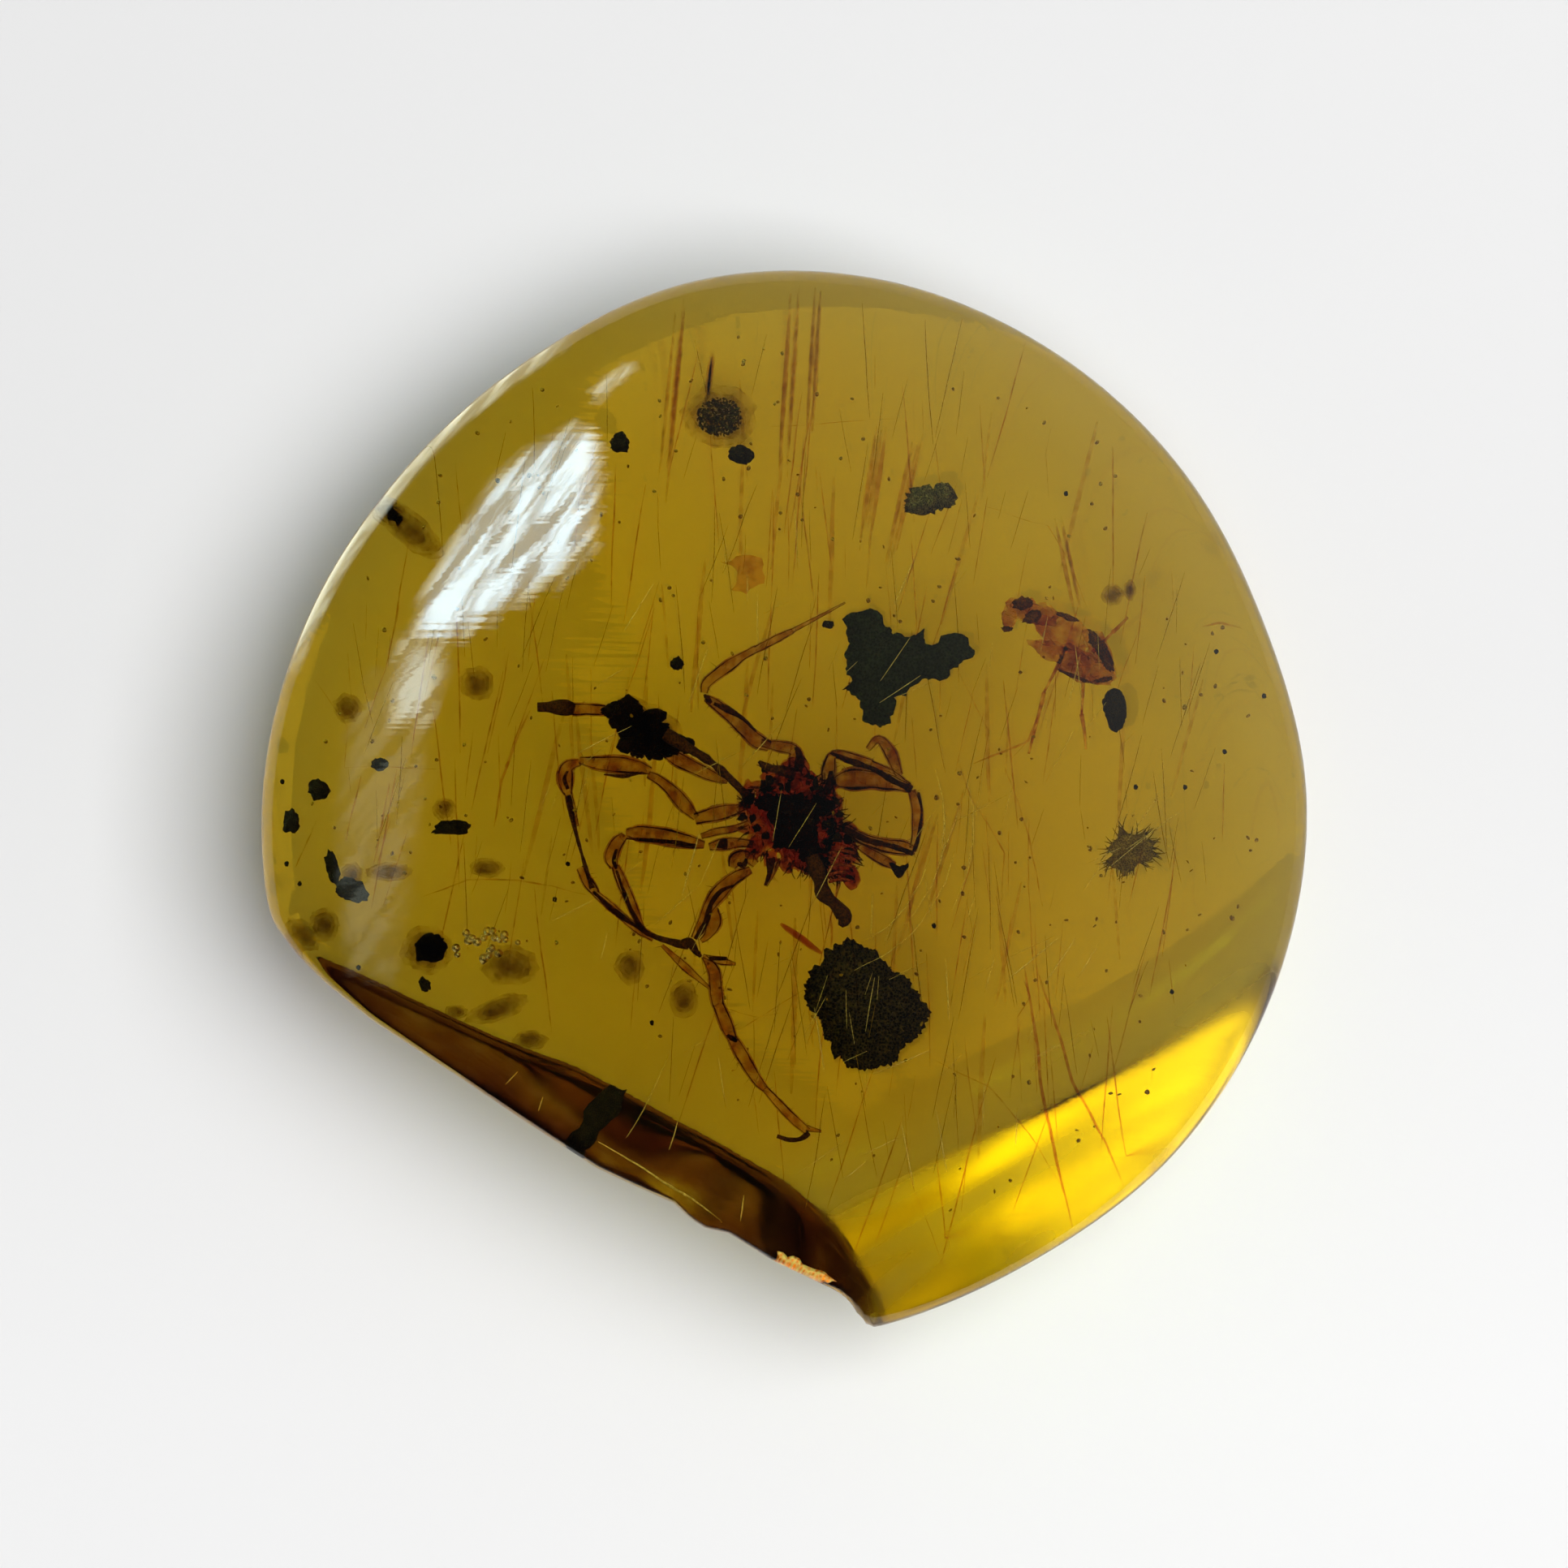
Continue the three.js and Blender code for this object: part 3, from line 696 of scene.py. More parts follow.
def speck_grower():
    """Scatters small uneven specks."""
    tree, given, out = new_grower("specks", {
        **SCATTER_INPUTS,
        "Smallest": ("Vector", (0.02 * MM,) * 3), "Largest": ("Vector", (0.06 * MM,) * 3)})
    ball = add_node(tree, "GeometryNodeMeshIcoSphere", {"Radius": 1.0, "Subdivisions": 2}).outputs[0]
    size = random_value(tree, "FLOAT_VECTOR", given["Smallest"], given["Largest"], given["Seed"])
    turn = random_value(tree, "FLOAT_VECTOR", (0, 0, 0), (6.3, 6.3, 6.3), given["Seed"])
    real = add_node(tree, "GeometryNodeRealizeInstances", {
        "Geometry": scattered(tree, given, ball, size, turn)}).outputs[0]
    return end_grower(tree, given, out, shaken(tree, real, 12000.0, 1.0, 0.04 * MM))


def bristle_grower():
    """Stands fine bristles on a surface, leaning at random."""
    tree, given, out = new_grower("bristles", {
        "Density": ("Float", 1e6), "Shortest": ("Float", 0.06 * MM), "Longest": ("Float", 0.2 * MM),
        "Thickness": ("Float", 0.006 * MM), "Lean": ("Float", 0.6), "Seed": ("Int", 1)})
    roots = add_node(tree, "GeometryNodeDistributePointsOnFaces", {
        "Mesh": given["Geometry"], "Density": given["Density"], "Seed": given["Seed"]}).outputs
    spike = add_node(tree, "GeometryNodeMeshCone", {
        "Vertices": 5, "Side Segments": 1, "Fill Segments": 1, "Radius Top": 0.15, "Radius Bottom": 1.0,
        "Depth": 1.0}).outputs[0]
    back = maths(tree, "MULTIPLY", given["Lean"], -1.0)
    least, most = (
        add_node(tree, "ShaderNodeCombineXYZ", {0: tilt, 1: tilt}).outputs[0]
        for tilt in (back, given["Lean"]))
    leaning = add_node(tree, "FunctionNodeRotateRotation", {
        0: roots["Rotation"], 1: random_value(tree, "FLOAT_VECTOR", least, most, given["Seed"])},
        rotation_space="LOCAL").outputs[0]
    length = random_value(tree, "FLOAT", given["Shortest"], given["Longest"], given["Seed"])
    size = add_node(
        tree, "ShaderNodeCombineXYZ", {0: given["Thickness"], 1: given["Thickness"], 2: length}).outputs[0]
    placed = add_node(tree, "GeometryNodeInstanceOnPoints", {
        "Points": roots["Points"], "Instance": spike, "Rotation": leaning, "Scale": size}).outputs[0]
    return end_grower(tree, given, out, placed)


PLAIN_INPUTS = {"count", "seed", "density", "waviness", "turned_least", "turned_most"}


def grow(name, grower, material, slot, *nodes, seed_mesh=None, **values):
    """Makes and finishes one piece: a grower's plain mesh, with sizes and places in millimetres."""
    for key in values.keys() - PLAIN_INPUTS:
        value = values[key]
        values[key] = tuple(v * MM for v in value) if isinstance(value, tuple) else value * MM
    makers = {
        "threads": thread_grower, "fibres": fibre_grower,
        "specks": speck_grower, "bristles": bristle_grower}
    tree = bpy.data.node_groups.get(grower) or makers[grower]()
    holder = linked(name + "_seed", seed_mesh or bpy.data.meshes.new(name + "_seed"))
    modifier = holder.modifiers.new(grower, "NODES")
    modifier.node_group = tree
    values["material"] = material
    for socket in tree.interface.items_tree:
        key = socket.name.lower().replace(" ", "_")
        if socket.in_out == "INPUT" and key in values:
            modifier[socket.identifier] = values[key]
    depsgraph = bpy.context.evaluated_depsgraph_get()
    mesh = bpy.data.meshes.new_from_object(holder.evaluated_get(depsgraph), depsgraph=depsgraph)
    bpy.data.objects.remove(holder)
    mesh.name = name
    mesh.polygons.foreach_set("material_index", [0] * len(mesh.polygons))
    finish_piece(linked(name, mesh), material, slot, *nodes)


def thread_mesh(threads):
    """Paths as edges, each given as [(x, y, h), ...] and a thickness, in millimetres."""
    mesh = bpy.data.meshes.new("paths")
    corners, edges, thickness = [], [], []
    for path, thick in threads:
        start = len(corners)
        corners += [tuple(inside(*point) * MM) for point in path]
        edges += [(i, i + 1) for i in range(start, len(corners) - 1)]
        thickness += [thick * MM] * len(path)
    mesh.from_pydata(corners, edges, [])
    mesh.attributes.new("thickness", "FLOAT", "POINT").data.foreach_set("value", thickness)
    return mesh


# ---- settings ----

def number(name, description, default, **limits):
    return bpy.props.FloatProperty(name=name, description=description, default=default, **limits)


def count(name, description, default):
    return bpy.props.IntProperty(name=name, description=description, default=default, min=0)


def uptake_of(name, matter, default):
    description = "What red, green and blue light lose per millimetre of " + matter
    return bpy.props.FloatVectorProperty(name=name, description=description, default=default, min=0)


class StoneSettings(bpy.types.PropertyGroup):
    uptake: uptake_of("Uptake", "amber", (0.08, 0.129, 0.46))
    waves: number("Waves", "Height of the low waves of the polish", 0.6, min=0)
    streaks: number("Streaks", "Height of the fine streaks of the polish", 0.1, min=0)
    # The brown layer under the break is painted shade on the broken side.
    shade_rind: number("Shade rind", "Thickness in millimetres of the brown layer under the break", 0.16, min=0.02)
    shade_rind_uptake: uptake_of("Shade rind uptake", "that layer", (1.25, 1.95, 3.5))
    break_roughness: number("Break roughness", "How matt the broken side is", 0.14, min=0, max=1)
    bevel_roughness: number("Facet roughness", "How matt the ground facet is", 0.25, min=0, max=1)


class StageSettings(bpy.types.PropertyGroup):
    floor: bpy.props.FloatVectorProperty(
        name="Floor", description="Tone of the floor", subtype="COLOR", default=(0.8,) * 3, min=0, max=1)
    lens: number("Lens", "Focal length", 200, min=1, unit="CAMERA")
    width_seen: number("Width seen", "Width of the view at the rim", 35.67 * MM, min=0, unit="LENGTH")
    view_middle: number(
        "View middle", "How far above the stone's middle the view is centred", 0.314 * MM, unit="LENGTH")
    sky: number("Sky", "Strength of the even light", 0.22, min=0)
    sheen: number("Sheen", "Strength of the even light mirrored at the right", 0.8, min=0)


class SpiderSettings(bpy.types.PropertyGroup):
    cuticle_uptake: uptake_of("Cuticle uptake", "cuticle", (3, 5.5, 12))
    flesh_uptake: uptake_of("Flesh uptake", "dried flesh", (1.0, 4.2, 11))
    bristles: number("Bristles", "Bristles per square millimetre", 6, min=0)


class FibreSettings(bpy.types.PropertyGroup):
    fibres: count("Fibres", "Number of plant fibres of each kind", 240)
    threads: count("Golden threads", "Number of golden threads", 120)
    specks: count("Specks", "Number of fine specks", 420)
    veils: count("Veils", "Number of soft brown streaks", 50)
    veil_uptake: uptake_of("Veil uptake", "streak", (0.8, 2.5, 6.0))
    hair_uptake: uptake_of("Hair uptake", "hair", (4, 13, 28))
    smudge_uptake: uptake_of("Smudge uptake", "smudge", (0.8, 1.0, 1.6))


# ---- the stage ----

class AMBER_OT_stage(bpy.types.Operator):
    """Adds the floor, the lights and the camera"""
    bl_idname = "amber.stage"
    bl_label = "Stage"

    def execute(self, context):
        stage = context.scene.amber_stage
        add_floor(stage.floor)
        add_sky(stage.sky, stage.sheen)
        for name, setting in LIGHTS.items():
            add_light(name, *setting)
        add_camera(stage)
        add_window(context.scene.camera.location / MM)
        return {"FINISHED"}


FLOOR_HALF = 600
PAINTED_FLOOR_LIGHT = (-14, 3, 1.09)  # painted light: where the floor's brighter front starts and ends to fade, and how bright it is
SKY_ACROSS = (0.87, 0.5, 0)  # the way in which the sky grows brighter

# Soft panels round the stone: azimuth and elevation in degrees, distance, width and height in metres,
# brightness, colour, and the kind of ray that meets them.
LIGHTS = {
    "glow": (127.5, 10.5, 0.3, 0.145, 0.14, 38, (0.215, 0.52, 1), "transmission"),
    "glow_rim": (123, 19, 0.32, 0.3, 0.22, 7, (0.5, 1, 0.4), "transmission"),
    "break_glow": (66, 37, 0.3, 0.18, 0.17, 1.2, (0.8, 1, 0.3), "transmission"),
    "break_glint": (88, 34, 0.3, 0.03, 0.04, 14, (1, 1, 0.3), "transmission"),
    "top": (208, 68, 0.35, 0.3, 0.3, 4.1, (1, 1, 1), "transmission"),
    "side": (5, 42, 0.35, 0.22, 0.22, 5, (1, 1, 1), "transmission"),
    "key": (0, 68, 0.4, 0.32, 0.32, 5.35, (1, 1, 1), "diffuse"),
}
PANES = (  # what the dome mirrors: an outline on the dome, how soft its edge is, and its brightness
    (((-4.69, 8.6), (-4.14, 8.18), (-4.02, 7.07), (-4.2, 5.75), (-5, 4.95), (-5.9, 4.45), (-7.35, 3.5),
      (-8.55, 3.5), (-8.23, 4.67), (-7.5, 5.96), (-6.76, 7.07), (-5.83, 7.99)), 0.4, 22),
    (((-8.79, 3.8), (-7.5, 3.6), (-7.6, 2.46), (-7.85, 1.5), (-9.1, 1.44), (-9.1, 2.46)), 0.5, 10),
    (((-4.3, 8.8), (-3.25, 9.8), (-3.5, 9.95), (-4.35, 9.3)), 0.18, 14),
    (((-7.7, 3), (-7.86, 1.6), (-8.18, -1), (-8.45, -3.1), (-8.7, -4.3), (-10, -4), (-10.3, -1), (-10, 1.5),
      (-9.4, 3)), 0.35, 1.3),
)
RIM_PANE = (115, 166, 0.967, 5)  # first and last azimuth, how far out it starts, and its brightness
WARM_PANE, COOL_PANE = (0.9, 1, 0.82, 1), (0.62, 0.85, 1, 1)
PANE_ENDS = (5, 0.008)  # how softly the pane at the rim starts, in degrees and in its reach
WINDOW_AZIMUTHS, WINDOW_REACHES = np.arange(96, 208, 1.0), 1 - np.geomspace(0.55, 0.004, 64)
FAR_OFF = 300


def floor_material(tone):
    material, tree, shader, out = new_material("floor")
    place = add_node(tree, "ShaderNodeSeparateXYZ", {0: millimetres(tree)}).outputs["Y"]
    front, back, bright = PAINTED_FLOOR_LIGHT
    # Painted light: the floor's colour grows brighter towards the front.
    near = (*(min(1, bright * value) for value in tone), 1)
    colour = blended(tree, remapped(tree, place, front, back), near, (*tone, 1))
    give(tree, shader, Base_Color=colour)
    shader.inputs["Roughness"].default_value = 0.7
    shader.inputs["Specular IOR Level"].default_value = 0.0
    return material


def add_floor(tone):
    corners = [(x * FLOOR_HALF, y * FLOOR_HALF, -0.02) for x, y in ((-1, -1), (1, -1), (1, 1), (-1, 1))]
    floor = new_object("floor", corners, [(0, 1, 2, 3)], smooth=False)
    floor.data.materials.append(floor_material(tone))


def mirrored_place(x, y, eye):
    """Where the line of sight from `eye` to the dome at (x, y) ends, far off or on the floor."""
    h = 0.01
    here = Vector((x, y, dome_z(x, y)))
    across, along = dome_z(x - h, y) - dome_z(x + h, y), dome_z(x, y - h) - dome_z(x, y + h)
    away = (here - eye).normalized().reflect(Vector((across, along, 2 * h)).normalized())
    return here + away * (FAR_OFF if away.z > -0.01 else min(FAR_OFF, (here.z - 0.1) / -away.z))


def pane_shine(x, y, azimuth, reach):
    """How bright the window is that the dome mirrors at (x, y)."""
    first, last, start, bright = RIM_PANE
    turn = min(azimuth - first, last - azimuth) / PANE_ENDS[0]
    shine = bright * max(0, min(1, turn)) * max(0, min(1, (reach - start) / PANE_ENDS[1]))
    for edge, soft, bright in PANES:
        if within(edge, x, y):
            spot = np.array((x, y))
            sides = [(np.array(a), np.subtract(b, a)) for a, b in zip(edge, edge[1:] + edge[:1])]
            deep = min(
                np.linalg.norm(spot - a - side * np.clip((spot - a) @ side / (side @ side), 0, 1))
                for a, side in sides)
            shine = max(shine, bright * min(1, deep / soft))
    return shine


def window_material():
    """Light that is streaked along the panes, on a card that hides nothing behind it."""
    material, tree, shader, out = new_material("window")
    tree.nodes.remove(shader)
    shine = add_node(tree, "ShaderNodeAttribute", attribute_name="shine").outputs["Fac"]
    spot = add_node(tree, "ShaderNodeAttribute", attribute_name="spot").outputs["Vector"]
    drawn = add_node(
        tree, "ShaderNodeMapping", {"Vector": spot, "Rotation": (0, 0, 0.9), "Scale": (2.2, 0.3, 1)},
        vector_type="TEXTURE")
    share = remapped(tree, noise_at(tree, 1.0, 4.0, drawn.outputs[0])["Fac"], 0.42, 0.56, 0.25)
    light = add_node(tree, "ShaderNodeEmission", {
        "Color": blended(tree, remapped(tree, shine, 5.0, 15.0), WARM_PANE, COOL_PANE),
        "Strength": maths(tree, "MULTIPLY", shine, share)})
    through = add_node(tree, "ShaderNodeBsdfTransparent")
    both = add_node(tree, "ShaderNodeAddShader", {0: light.outputs[0], 1: through.outputs[0]})
    give(tree, out, Surface=both.outputs[0])
    material.cycles.emission_sampling = "NONE"
    return material


def add_window(eye):
    """A bright card that only the polish mirrors, bent so that it shows as the panes."""
    spots = []
    for azimuth in WINDOW_AZIMUTHS:
        a = math.radians(azimuth)
        rim = ring_value(RIM_RADII, a)
        spots += [(rim * r * math.cos(a), rim * r * math.sin(a), azimuth, r) for r in WINDOW_REACHES]
    corner = np.arange(len(spots)).reshape(len(WINDOW_AZIMUTHS), -1)
    quads = np.stack((corner[:-1, :-1], corner[1:, :-1], corner[1:, 1:], corner[:-1, 1:]), -1)
    mesh = bpy.data.meshes.new("window")
    corners = [mirrored_place(x, y, eye) * MM for x, y, a, r in spots]
    mesh.from_pydata(corners, [], quads.reshape(-1, 4).tolist())
    shine = mesh.attributes.new("shine", "FLOAT", "POINT")
    shine.data.foreach_set("value", [pane_shine(*spot) for spot in spots])
    places = mesh.attributes.new("spot", "FLOAT_VECTOR", "POINT")
    places.data.foreach_set("vector", [value for x, y, a, r in spots for value in (x, y, 0)])
    mesh.materials.append(window_material())
    window = linked("window", mesh)
    for rays in ("camera", "diffuse", "transmission", "shadow", "volume_scatter"):
        setattr(window, "visible_" + rays, False)


def add_light(name, azimuth, elevation, distance, width, height, brightness, colour, rays):
    data = bpy.data.lights.new(name, "AREA")
    data.shape = "RECTANGLE"
    data.size, data.size_y = width, height
    data.energy = brightness * math.pi * width * height
    data.color = colour
    light = linked(name, data)
    a, e = math.radians(azimuth), math.radians(elevation)
    away = Vector((math.cos(a) * math.cos(e), math.sin(a) * math.cos(e), math.sin(e)))
    light.location = away * distance
    light.rotation_euler = away.to_track_quat("Z", "Y").to_euler()
    light.visible_camera = False
    light.visible_glossy = False
    light.visible_diffuse = rays == "diffuse"
    light.visible_transmission = rays == "transmission"


def add_sky(strength, sheen):
    """Even light that grows from left to right; what the polished surface shows of it is set apart."""
    world = bpy.data.worlds.new("studio")
    world.use_nodes = True
    tree = world.node_tree
    direction = add_node(tree, "ShaderNodeTexCoord").outputs["Object"]
    across = vector_maths(tree, "DOT_PRODUCT", direction, SKY_ACROSS)
    lit = remapped(tree, across, -1.0, 1.0, 0.1 * strength, 2.0 * strength)
    seen = remapped(tree, across, -0.05, 0.8, 0.02, sheen)
    ray = add_node(tree, "ShaderNodeLightPath").outputs
    mirrored = maths(tree, "MULTIPLY", ray["Is Glossy Ray"], ray["Is Reflection Ray"])
    sky = tree.nodes["Background"]
    sky.inputs["Color"].default_value = (1, 1, 1, 1)
    give(tree, sky, Strength=add_node(tree, "ShaderNodeMix", {0: mirrored, 2: lit, 3: seen}).outputs[0])
    bpy.context.scene.world = world


def add_camera(stage):
    data = bpy.data.cameras.new("camera")
    data.lens = stage.lens
    data.clip_start = 0.01
    camera = linked("camera", data)
    camera.location = (0, stage.view_middle, RIM_Z * MM + stage.width_seen * stage.lens / data.sensor_width)
    bpy.context.scene.camera = camera


# ---- the stone ----

def break_face(u, lean, deep):
    """A place `deep` inside the broken side, `u` along it and at a share `lean` of its height."""
    foot, lip, hollow = break_profile(u)
    top = BREAK_START + BREAK_ALONG * u + BREAK_OUT * lip
    bow = lean + hollow * lean * (1 - lean)
    spot = BREAK_START + BREAK_ALONG * u + BREAK_OUT * (foot + (lip - foot) * bow - deep)
    return (*spot, lean * dome_z(*top))


def shade_rind_share(u, lean):
    """How thick the brown layer of painted shade is: thin at the base, and thinned along a ledge and at the
    tip so that they show lighter, as painted light.
    """
    ledge = np.interp(u, (8.4, 9.2, 11.4, 12.2), (0, 1, 1, 0)) * np.interp(lean, (0.52, 0.68), (0, 1))
    along = np.interp(u, (0, 5.5, 7.5, 14, 15.6), (0.6, 0.7, 1, 1, 0.4))
    return min(1, 0.1 + (lean - 0.1) * 4) * (1 - 0.85 * ledge) * along


def shade_rind(first, last, low, high, deep, thick, seed):
    """An uneven brown layer under the skin of the broken side: painted shade that darkens it."""
    def spot(u, lean, side):
        rough = 0.75 + 0.5 * wobble((u, lean * 3, 0), 0.8, seed).x
        return break_face(u, lean, deep + side * thick * shade_rind_share(u, lean) * rough)

    us, leans = np.linspace(first, last, SHADE_RIND_GRID[0]), np.linspace(low, high, SHADE_RIND_GRID[1])
    outer, inner = (np.array([[spot(u, lean, side) for lean in leans] for u in us]) for side in (0, 1))
    return joined_rings(np.concatenate((outer, inner[:, ::-1]), axis=1), closed=False)


def stone_skin(middle, directions):
    """Where rays from the stone's middle leave it."""
    near, far = np.zeros(len(directions)), np.full(len(directions), SEARCH_REACH)
    for _ in range(SEARCH_STEPS):
        half = (near + far) / 2
        outside = stone_depth(middle + directions * half[:, None]) > 0
        near, far = np.where(outside, near, half), np.where(outside, half, far)
    return middle + directions * far[:, None]


def matt_shares(places, look):
    """How rough each place is: the broken side evenly, the facet with drawn-out streaks."""
    broken = np.interp(break_depth(places), BREAK_MATT, (0, look.break_roughness))
    ground = np.interp(bevel_depth(places), BEVEL_MATT, (0, look.bevel_roughness))
    drawn = places @ np.array(GRIND_TURN) * GRIND_SCALE
    ground[ground > 0] *= [1 + GRIND_SPREAD * noise.noise(spot) for spot in drawn[ground > 0]]
    return np.maximum(broken, ground)


class AMBER_OT_stone(bpy.types.Operator):
    """Builds the clear amber pebble with its broken side"""
    bl_idname = "amber.stone"
    bl_label = "Stone"

    def execute(self, context):
        look = context.scene.amber_stone
        directions, faces = wrapped_cube(STONE_GRID)
        rays = directions * np.array(STONE_HALF)
        rays /= np.linalg.norm(rays, axis=1)[:, None]
        stone = new_object("amber_stone", stone_skin(np.array((0, 0, RIM_Z)), rays), faces)
        places = np.array([v.co for v in stone.data.vertices]) / MM
        matt = stone.data.attributes.new("matt", "FLOAT", "POINT")
        matt.data.foreach_set("value", matt_shares(places, look))
        finish_piece(stone, amber_material(look), "amber", "amber_upper", "amber_lower")
        # The brown layer under the break is painted shade on the broken side.
        layer = shade_rind(first=0.5, last=16, low=0.1, high=0.93, deep=0.05, thick=look.shade_rind, seed=3)
        build("break_shade_rind", [layer], clear_material("shade_rind", "shade_rind", look.shade_rind_uptake), "amber")
        return {"FINISHED"}


# ---- the spider ----

HOLLOW_PARTS = (  # (x, y, half width) along each thin hollow piece of leg
    ((-0.33, 1.16, 0.12), (-0.63, 1.31, 0.18), (-0.92, 1.57, 0.18), (-1.22, 1.86, 0.16),
     (-1.55, 2.12, 0.13), (-1.77, 2.27, 0.09)),
    ((-1.81, 2.38, 0.09), (-1.75, 2.6, 0.13), (-1.44, 2.86, 0.15), (-1, 3.17, 0.13), (-0.63, 3.38, 0.1)),
    ((-0.64, 3.36, 0.09), (-0.18, 3.6, 0.1), (0.2, 3.79, 0.07)),
    ((0.17, 3.78, 0.06), (0.78, 4.1, 0.04), (1.39, 4.43, 0.02)),
    ((0.26, 0.61, 0.16), (0.28, 0.87, 0.18), (0.21, 1.09, 0.15), (-0.18, 1.18, 0.13), (-0.52, 1.25, 0.1)),
    ((-4.8, 2.01, 0.15), (-4.47, 2.01, 0.16), (-4.06, 1.99, 0.13)),
    ((-2.77, 1.07, 0.09), (-2.4, 0.87, 0.19), (-1.96, 0.65, 0.19), (-1.51, 0.44, 0.12),
     (-1.28, 0.37, 0.06)),
    ((-0.85, -0.2, 0.07), (-1.26, -0.3, 0.16), (-1.66, -0.39, 0.18), (-2.02, -0.48, 0.13)),
    ((-1.99, -0.45, 0.1), (-2.25, -0.17, 0.17), (-2.55, 0.17, 0.17), (-2.84, 0.41, 0.13),
     (-3.08, 0.53, 0.09)),
    ((-3.01, 0.61, 0.09), (-3.36, 0.71, 0.2), (-3.8, 0.76, 0.21), (-4.25, 0.79, 0.17), (-4.63, 0.85, 0.09)),
    ((-4.63, 0.81, 0.09), (-4.9, 0.71, 0.18), (-4.96, 0.48, 0.2), (-4.93, 0.22, 0.15), (-4.9, 0.07, 0.09)),
    ((-4.9, 0.13, 0.1), (-4.81, -0.24, 0.1), (-4.7, -0.65, 0.06)),
    ((-4.63, -1.58, 0.1), (-4.45, -1.9, 0.14), (-4.25, -2.17, 0.1)),
    ((-4.28, -2.16, 0.1), (-3.8, -2.57, 0.11), (-3.36, -2.94, 0.12), (-2.95, -3.18, 0.1)),
    ((-2.77, -3.34, 0.04), (-2.33, -3.75, 0.1), (-1.96, -4.08, 0.08), (-1.68, -4.32, 0.04)),
    ((-1.81, -1.07, 0.1), (-2.18, -0.99, 0.21), (-2.7, -0.88, 0.23), (-3.21, -0.81, 0.2),
     (-3.58, -0.79, 0.09)),
    ((-3.61, -0.85, 0.09), (-3.8, -1.05, 0.18), (-3.91, -1.35, 0.17), (-3.85, -1.58, 0.1)),
    ((-3.82, -1.55, 0.11), (-3.66, -1.94, 0.14), (-3.47, -2.38, 0.13), (-3.29, -2.82, 0.1),
     (-3.17, -3.03, 0.06)),
    ((-0.64, -1.51, 0.09), (-0.85, -1.33, 0.16), (-1.09, -1.41, 0.19), (-1.18, -1.58, 0.1)),
    ((-0.76, -1.63, 0.09), (-1.14, -1.83, 0.17), (-1.48, -2.16, 0.2), (-1.7, -2.47, 0.16),
     (-1.88, -2.82, 0.1), (-2.05, -3.18, 0.07)),
    ((-1.57, -2.49, 0.09), (-1.59, -2.82, 0.19), (-1.72, -3.11, 0.13), (-1.88, -3.25, 0.06)),
    ((-1.81, -3.6, 0.07), (-1.59, -3.93, 0.16), (-1.55, -4.3, 0.17), (-1.5, -4.69, 0.15)),
    ((-1.5, -4.66, 0.15), (-1.33, -5.08, 0.17), (-1.17, -5.47, 0.13)),
    ((-1.18, -5.44, 0.13), (-0.92, -5.89, 0.16), (-0.63, -6.37, 0.15), (-0.42, -6.61, 0.1)),
    ((-0.44, -6.59, 0.09), (-0.04, -7.03, 0.12), (0.26, -7.33, 0.14), (0.54, -7.57, 0.1)),
    ((0.51, -7.49, 0.09), (0.66, -7.53, 0.06), (0.85, -7.57, 0.03)),
    ((0.98, 0.31, 0.16), (1.02, 0.68, 0.18), (1.13, 0.98, 0.13), (1.53, 0.9, 0.14), (1.99, 0.75, 0.12)),
    ((1.96, 0.78, 0.1), (2.4, 0.54, 0.14), (2.83, 0.26, 0.1)),
    ((1.9, 1.1, 0.07), (2.14, 1.33, 0.12), (2.41, 1.02, 0.16), (2.61, 0.51, 0.1)),
    ((1.09, 0.34, 0.12), (1.44, 0.42, 0.24), (1.96, 0.42, 0.26), (2.47, 0.34, 0.2), (2.88, 0.2, 0.09)),
    ((2.89, 0.17, 0.1), (3.01, -0.24, 0.13), (3.01, -0.68, 0.13), (2.93, -1.14, 0.09)),
    ((1.33, -0.62, 0.09), (1.74, -0.9, 0.14), (2.25, -1.07, 0.18), (2.7, -1.13, 0.2), (2.98, -1.2, 0.09)),
    ((1.59, -1.02, 0.07), (2.07, -1.31, 0.14), (2.51, -1.55, 0.1)),
    ((-0.15, -1.38, 0.12), (-0.29, -1.72, 0.1), (-0.42, -2, 0.04)),
    ((-1.84, -3.58, 0.05), (-1.5, -3.68, 0.1), (-1.09, -3.77, 0.03)),
    ((-0.81, -0.57, 0.06), (-1.14, -0.7, 0.1), (-1.51, -0.76, 0.09), (-1.88, -0.87, 0.07)),
    ((-0.7, -1.05, 0.09), (-1, -1.02, 0.13), (-1.37, -1.05, 0.15), (-1.7, -1.11, 0.09)),
)
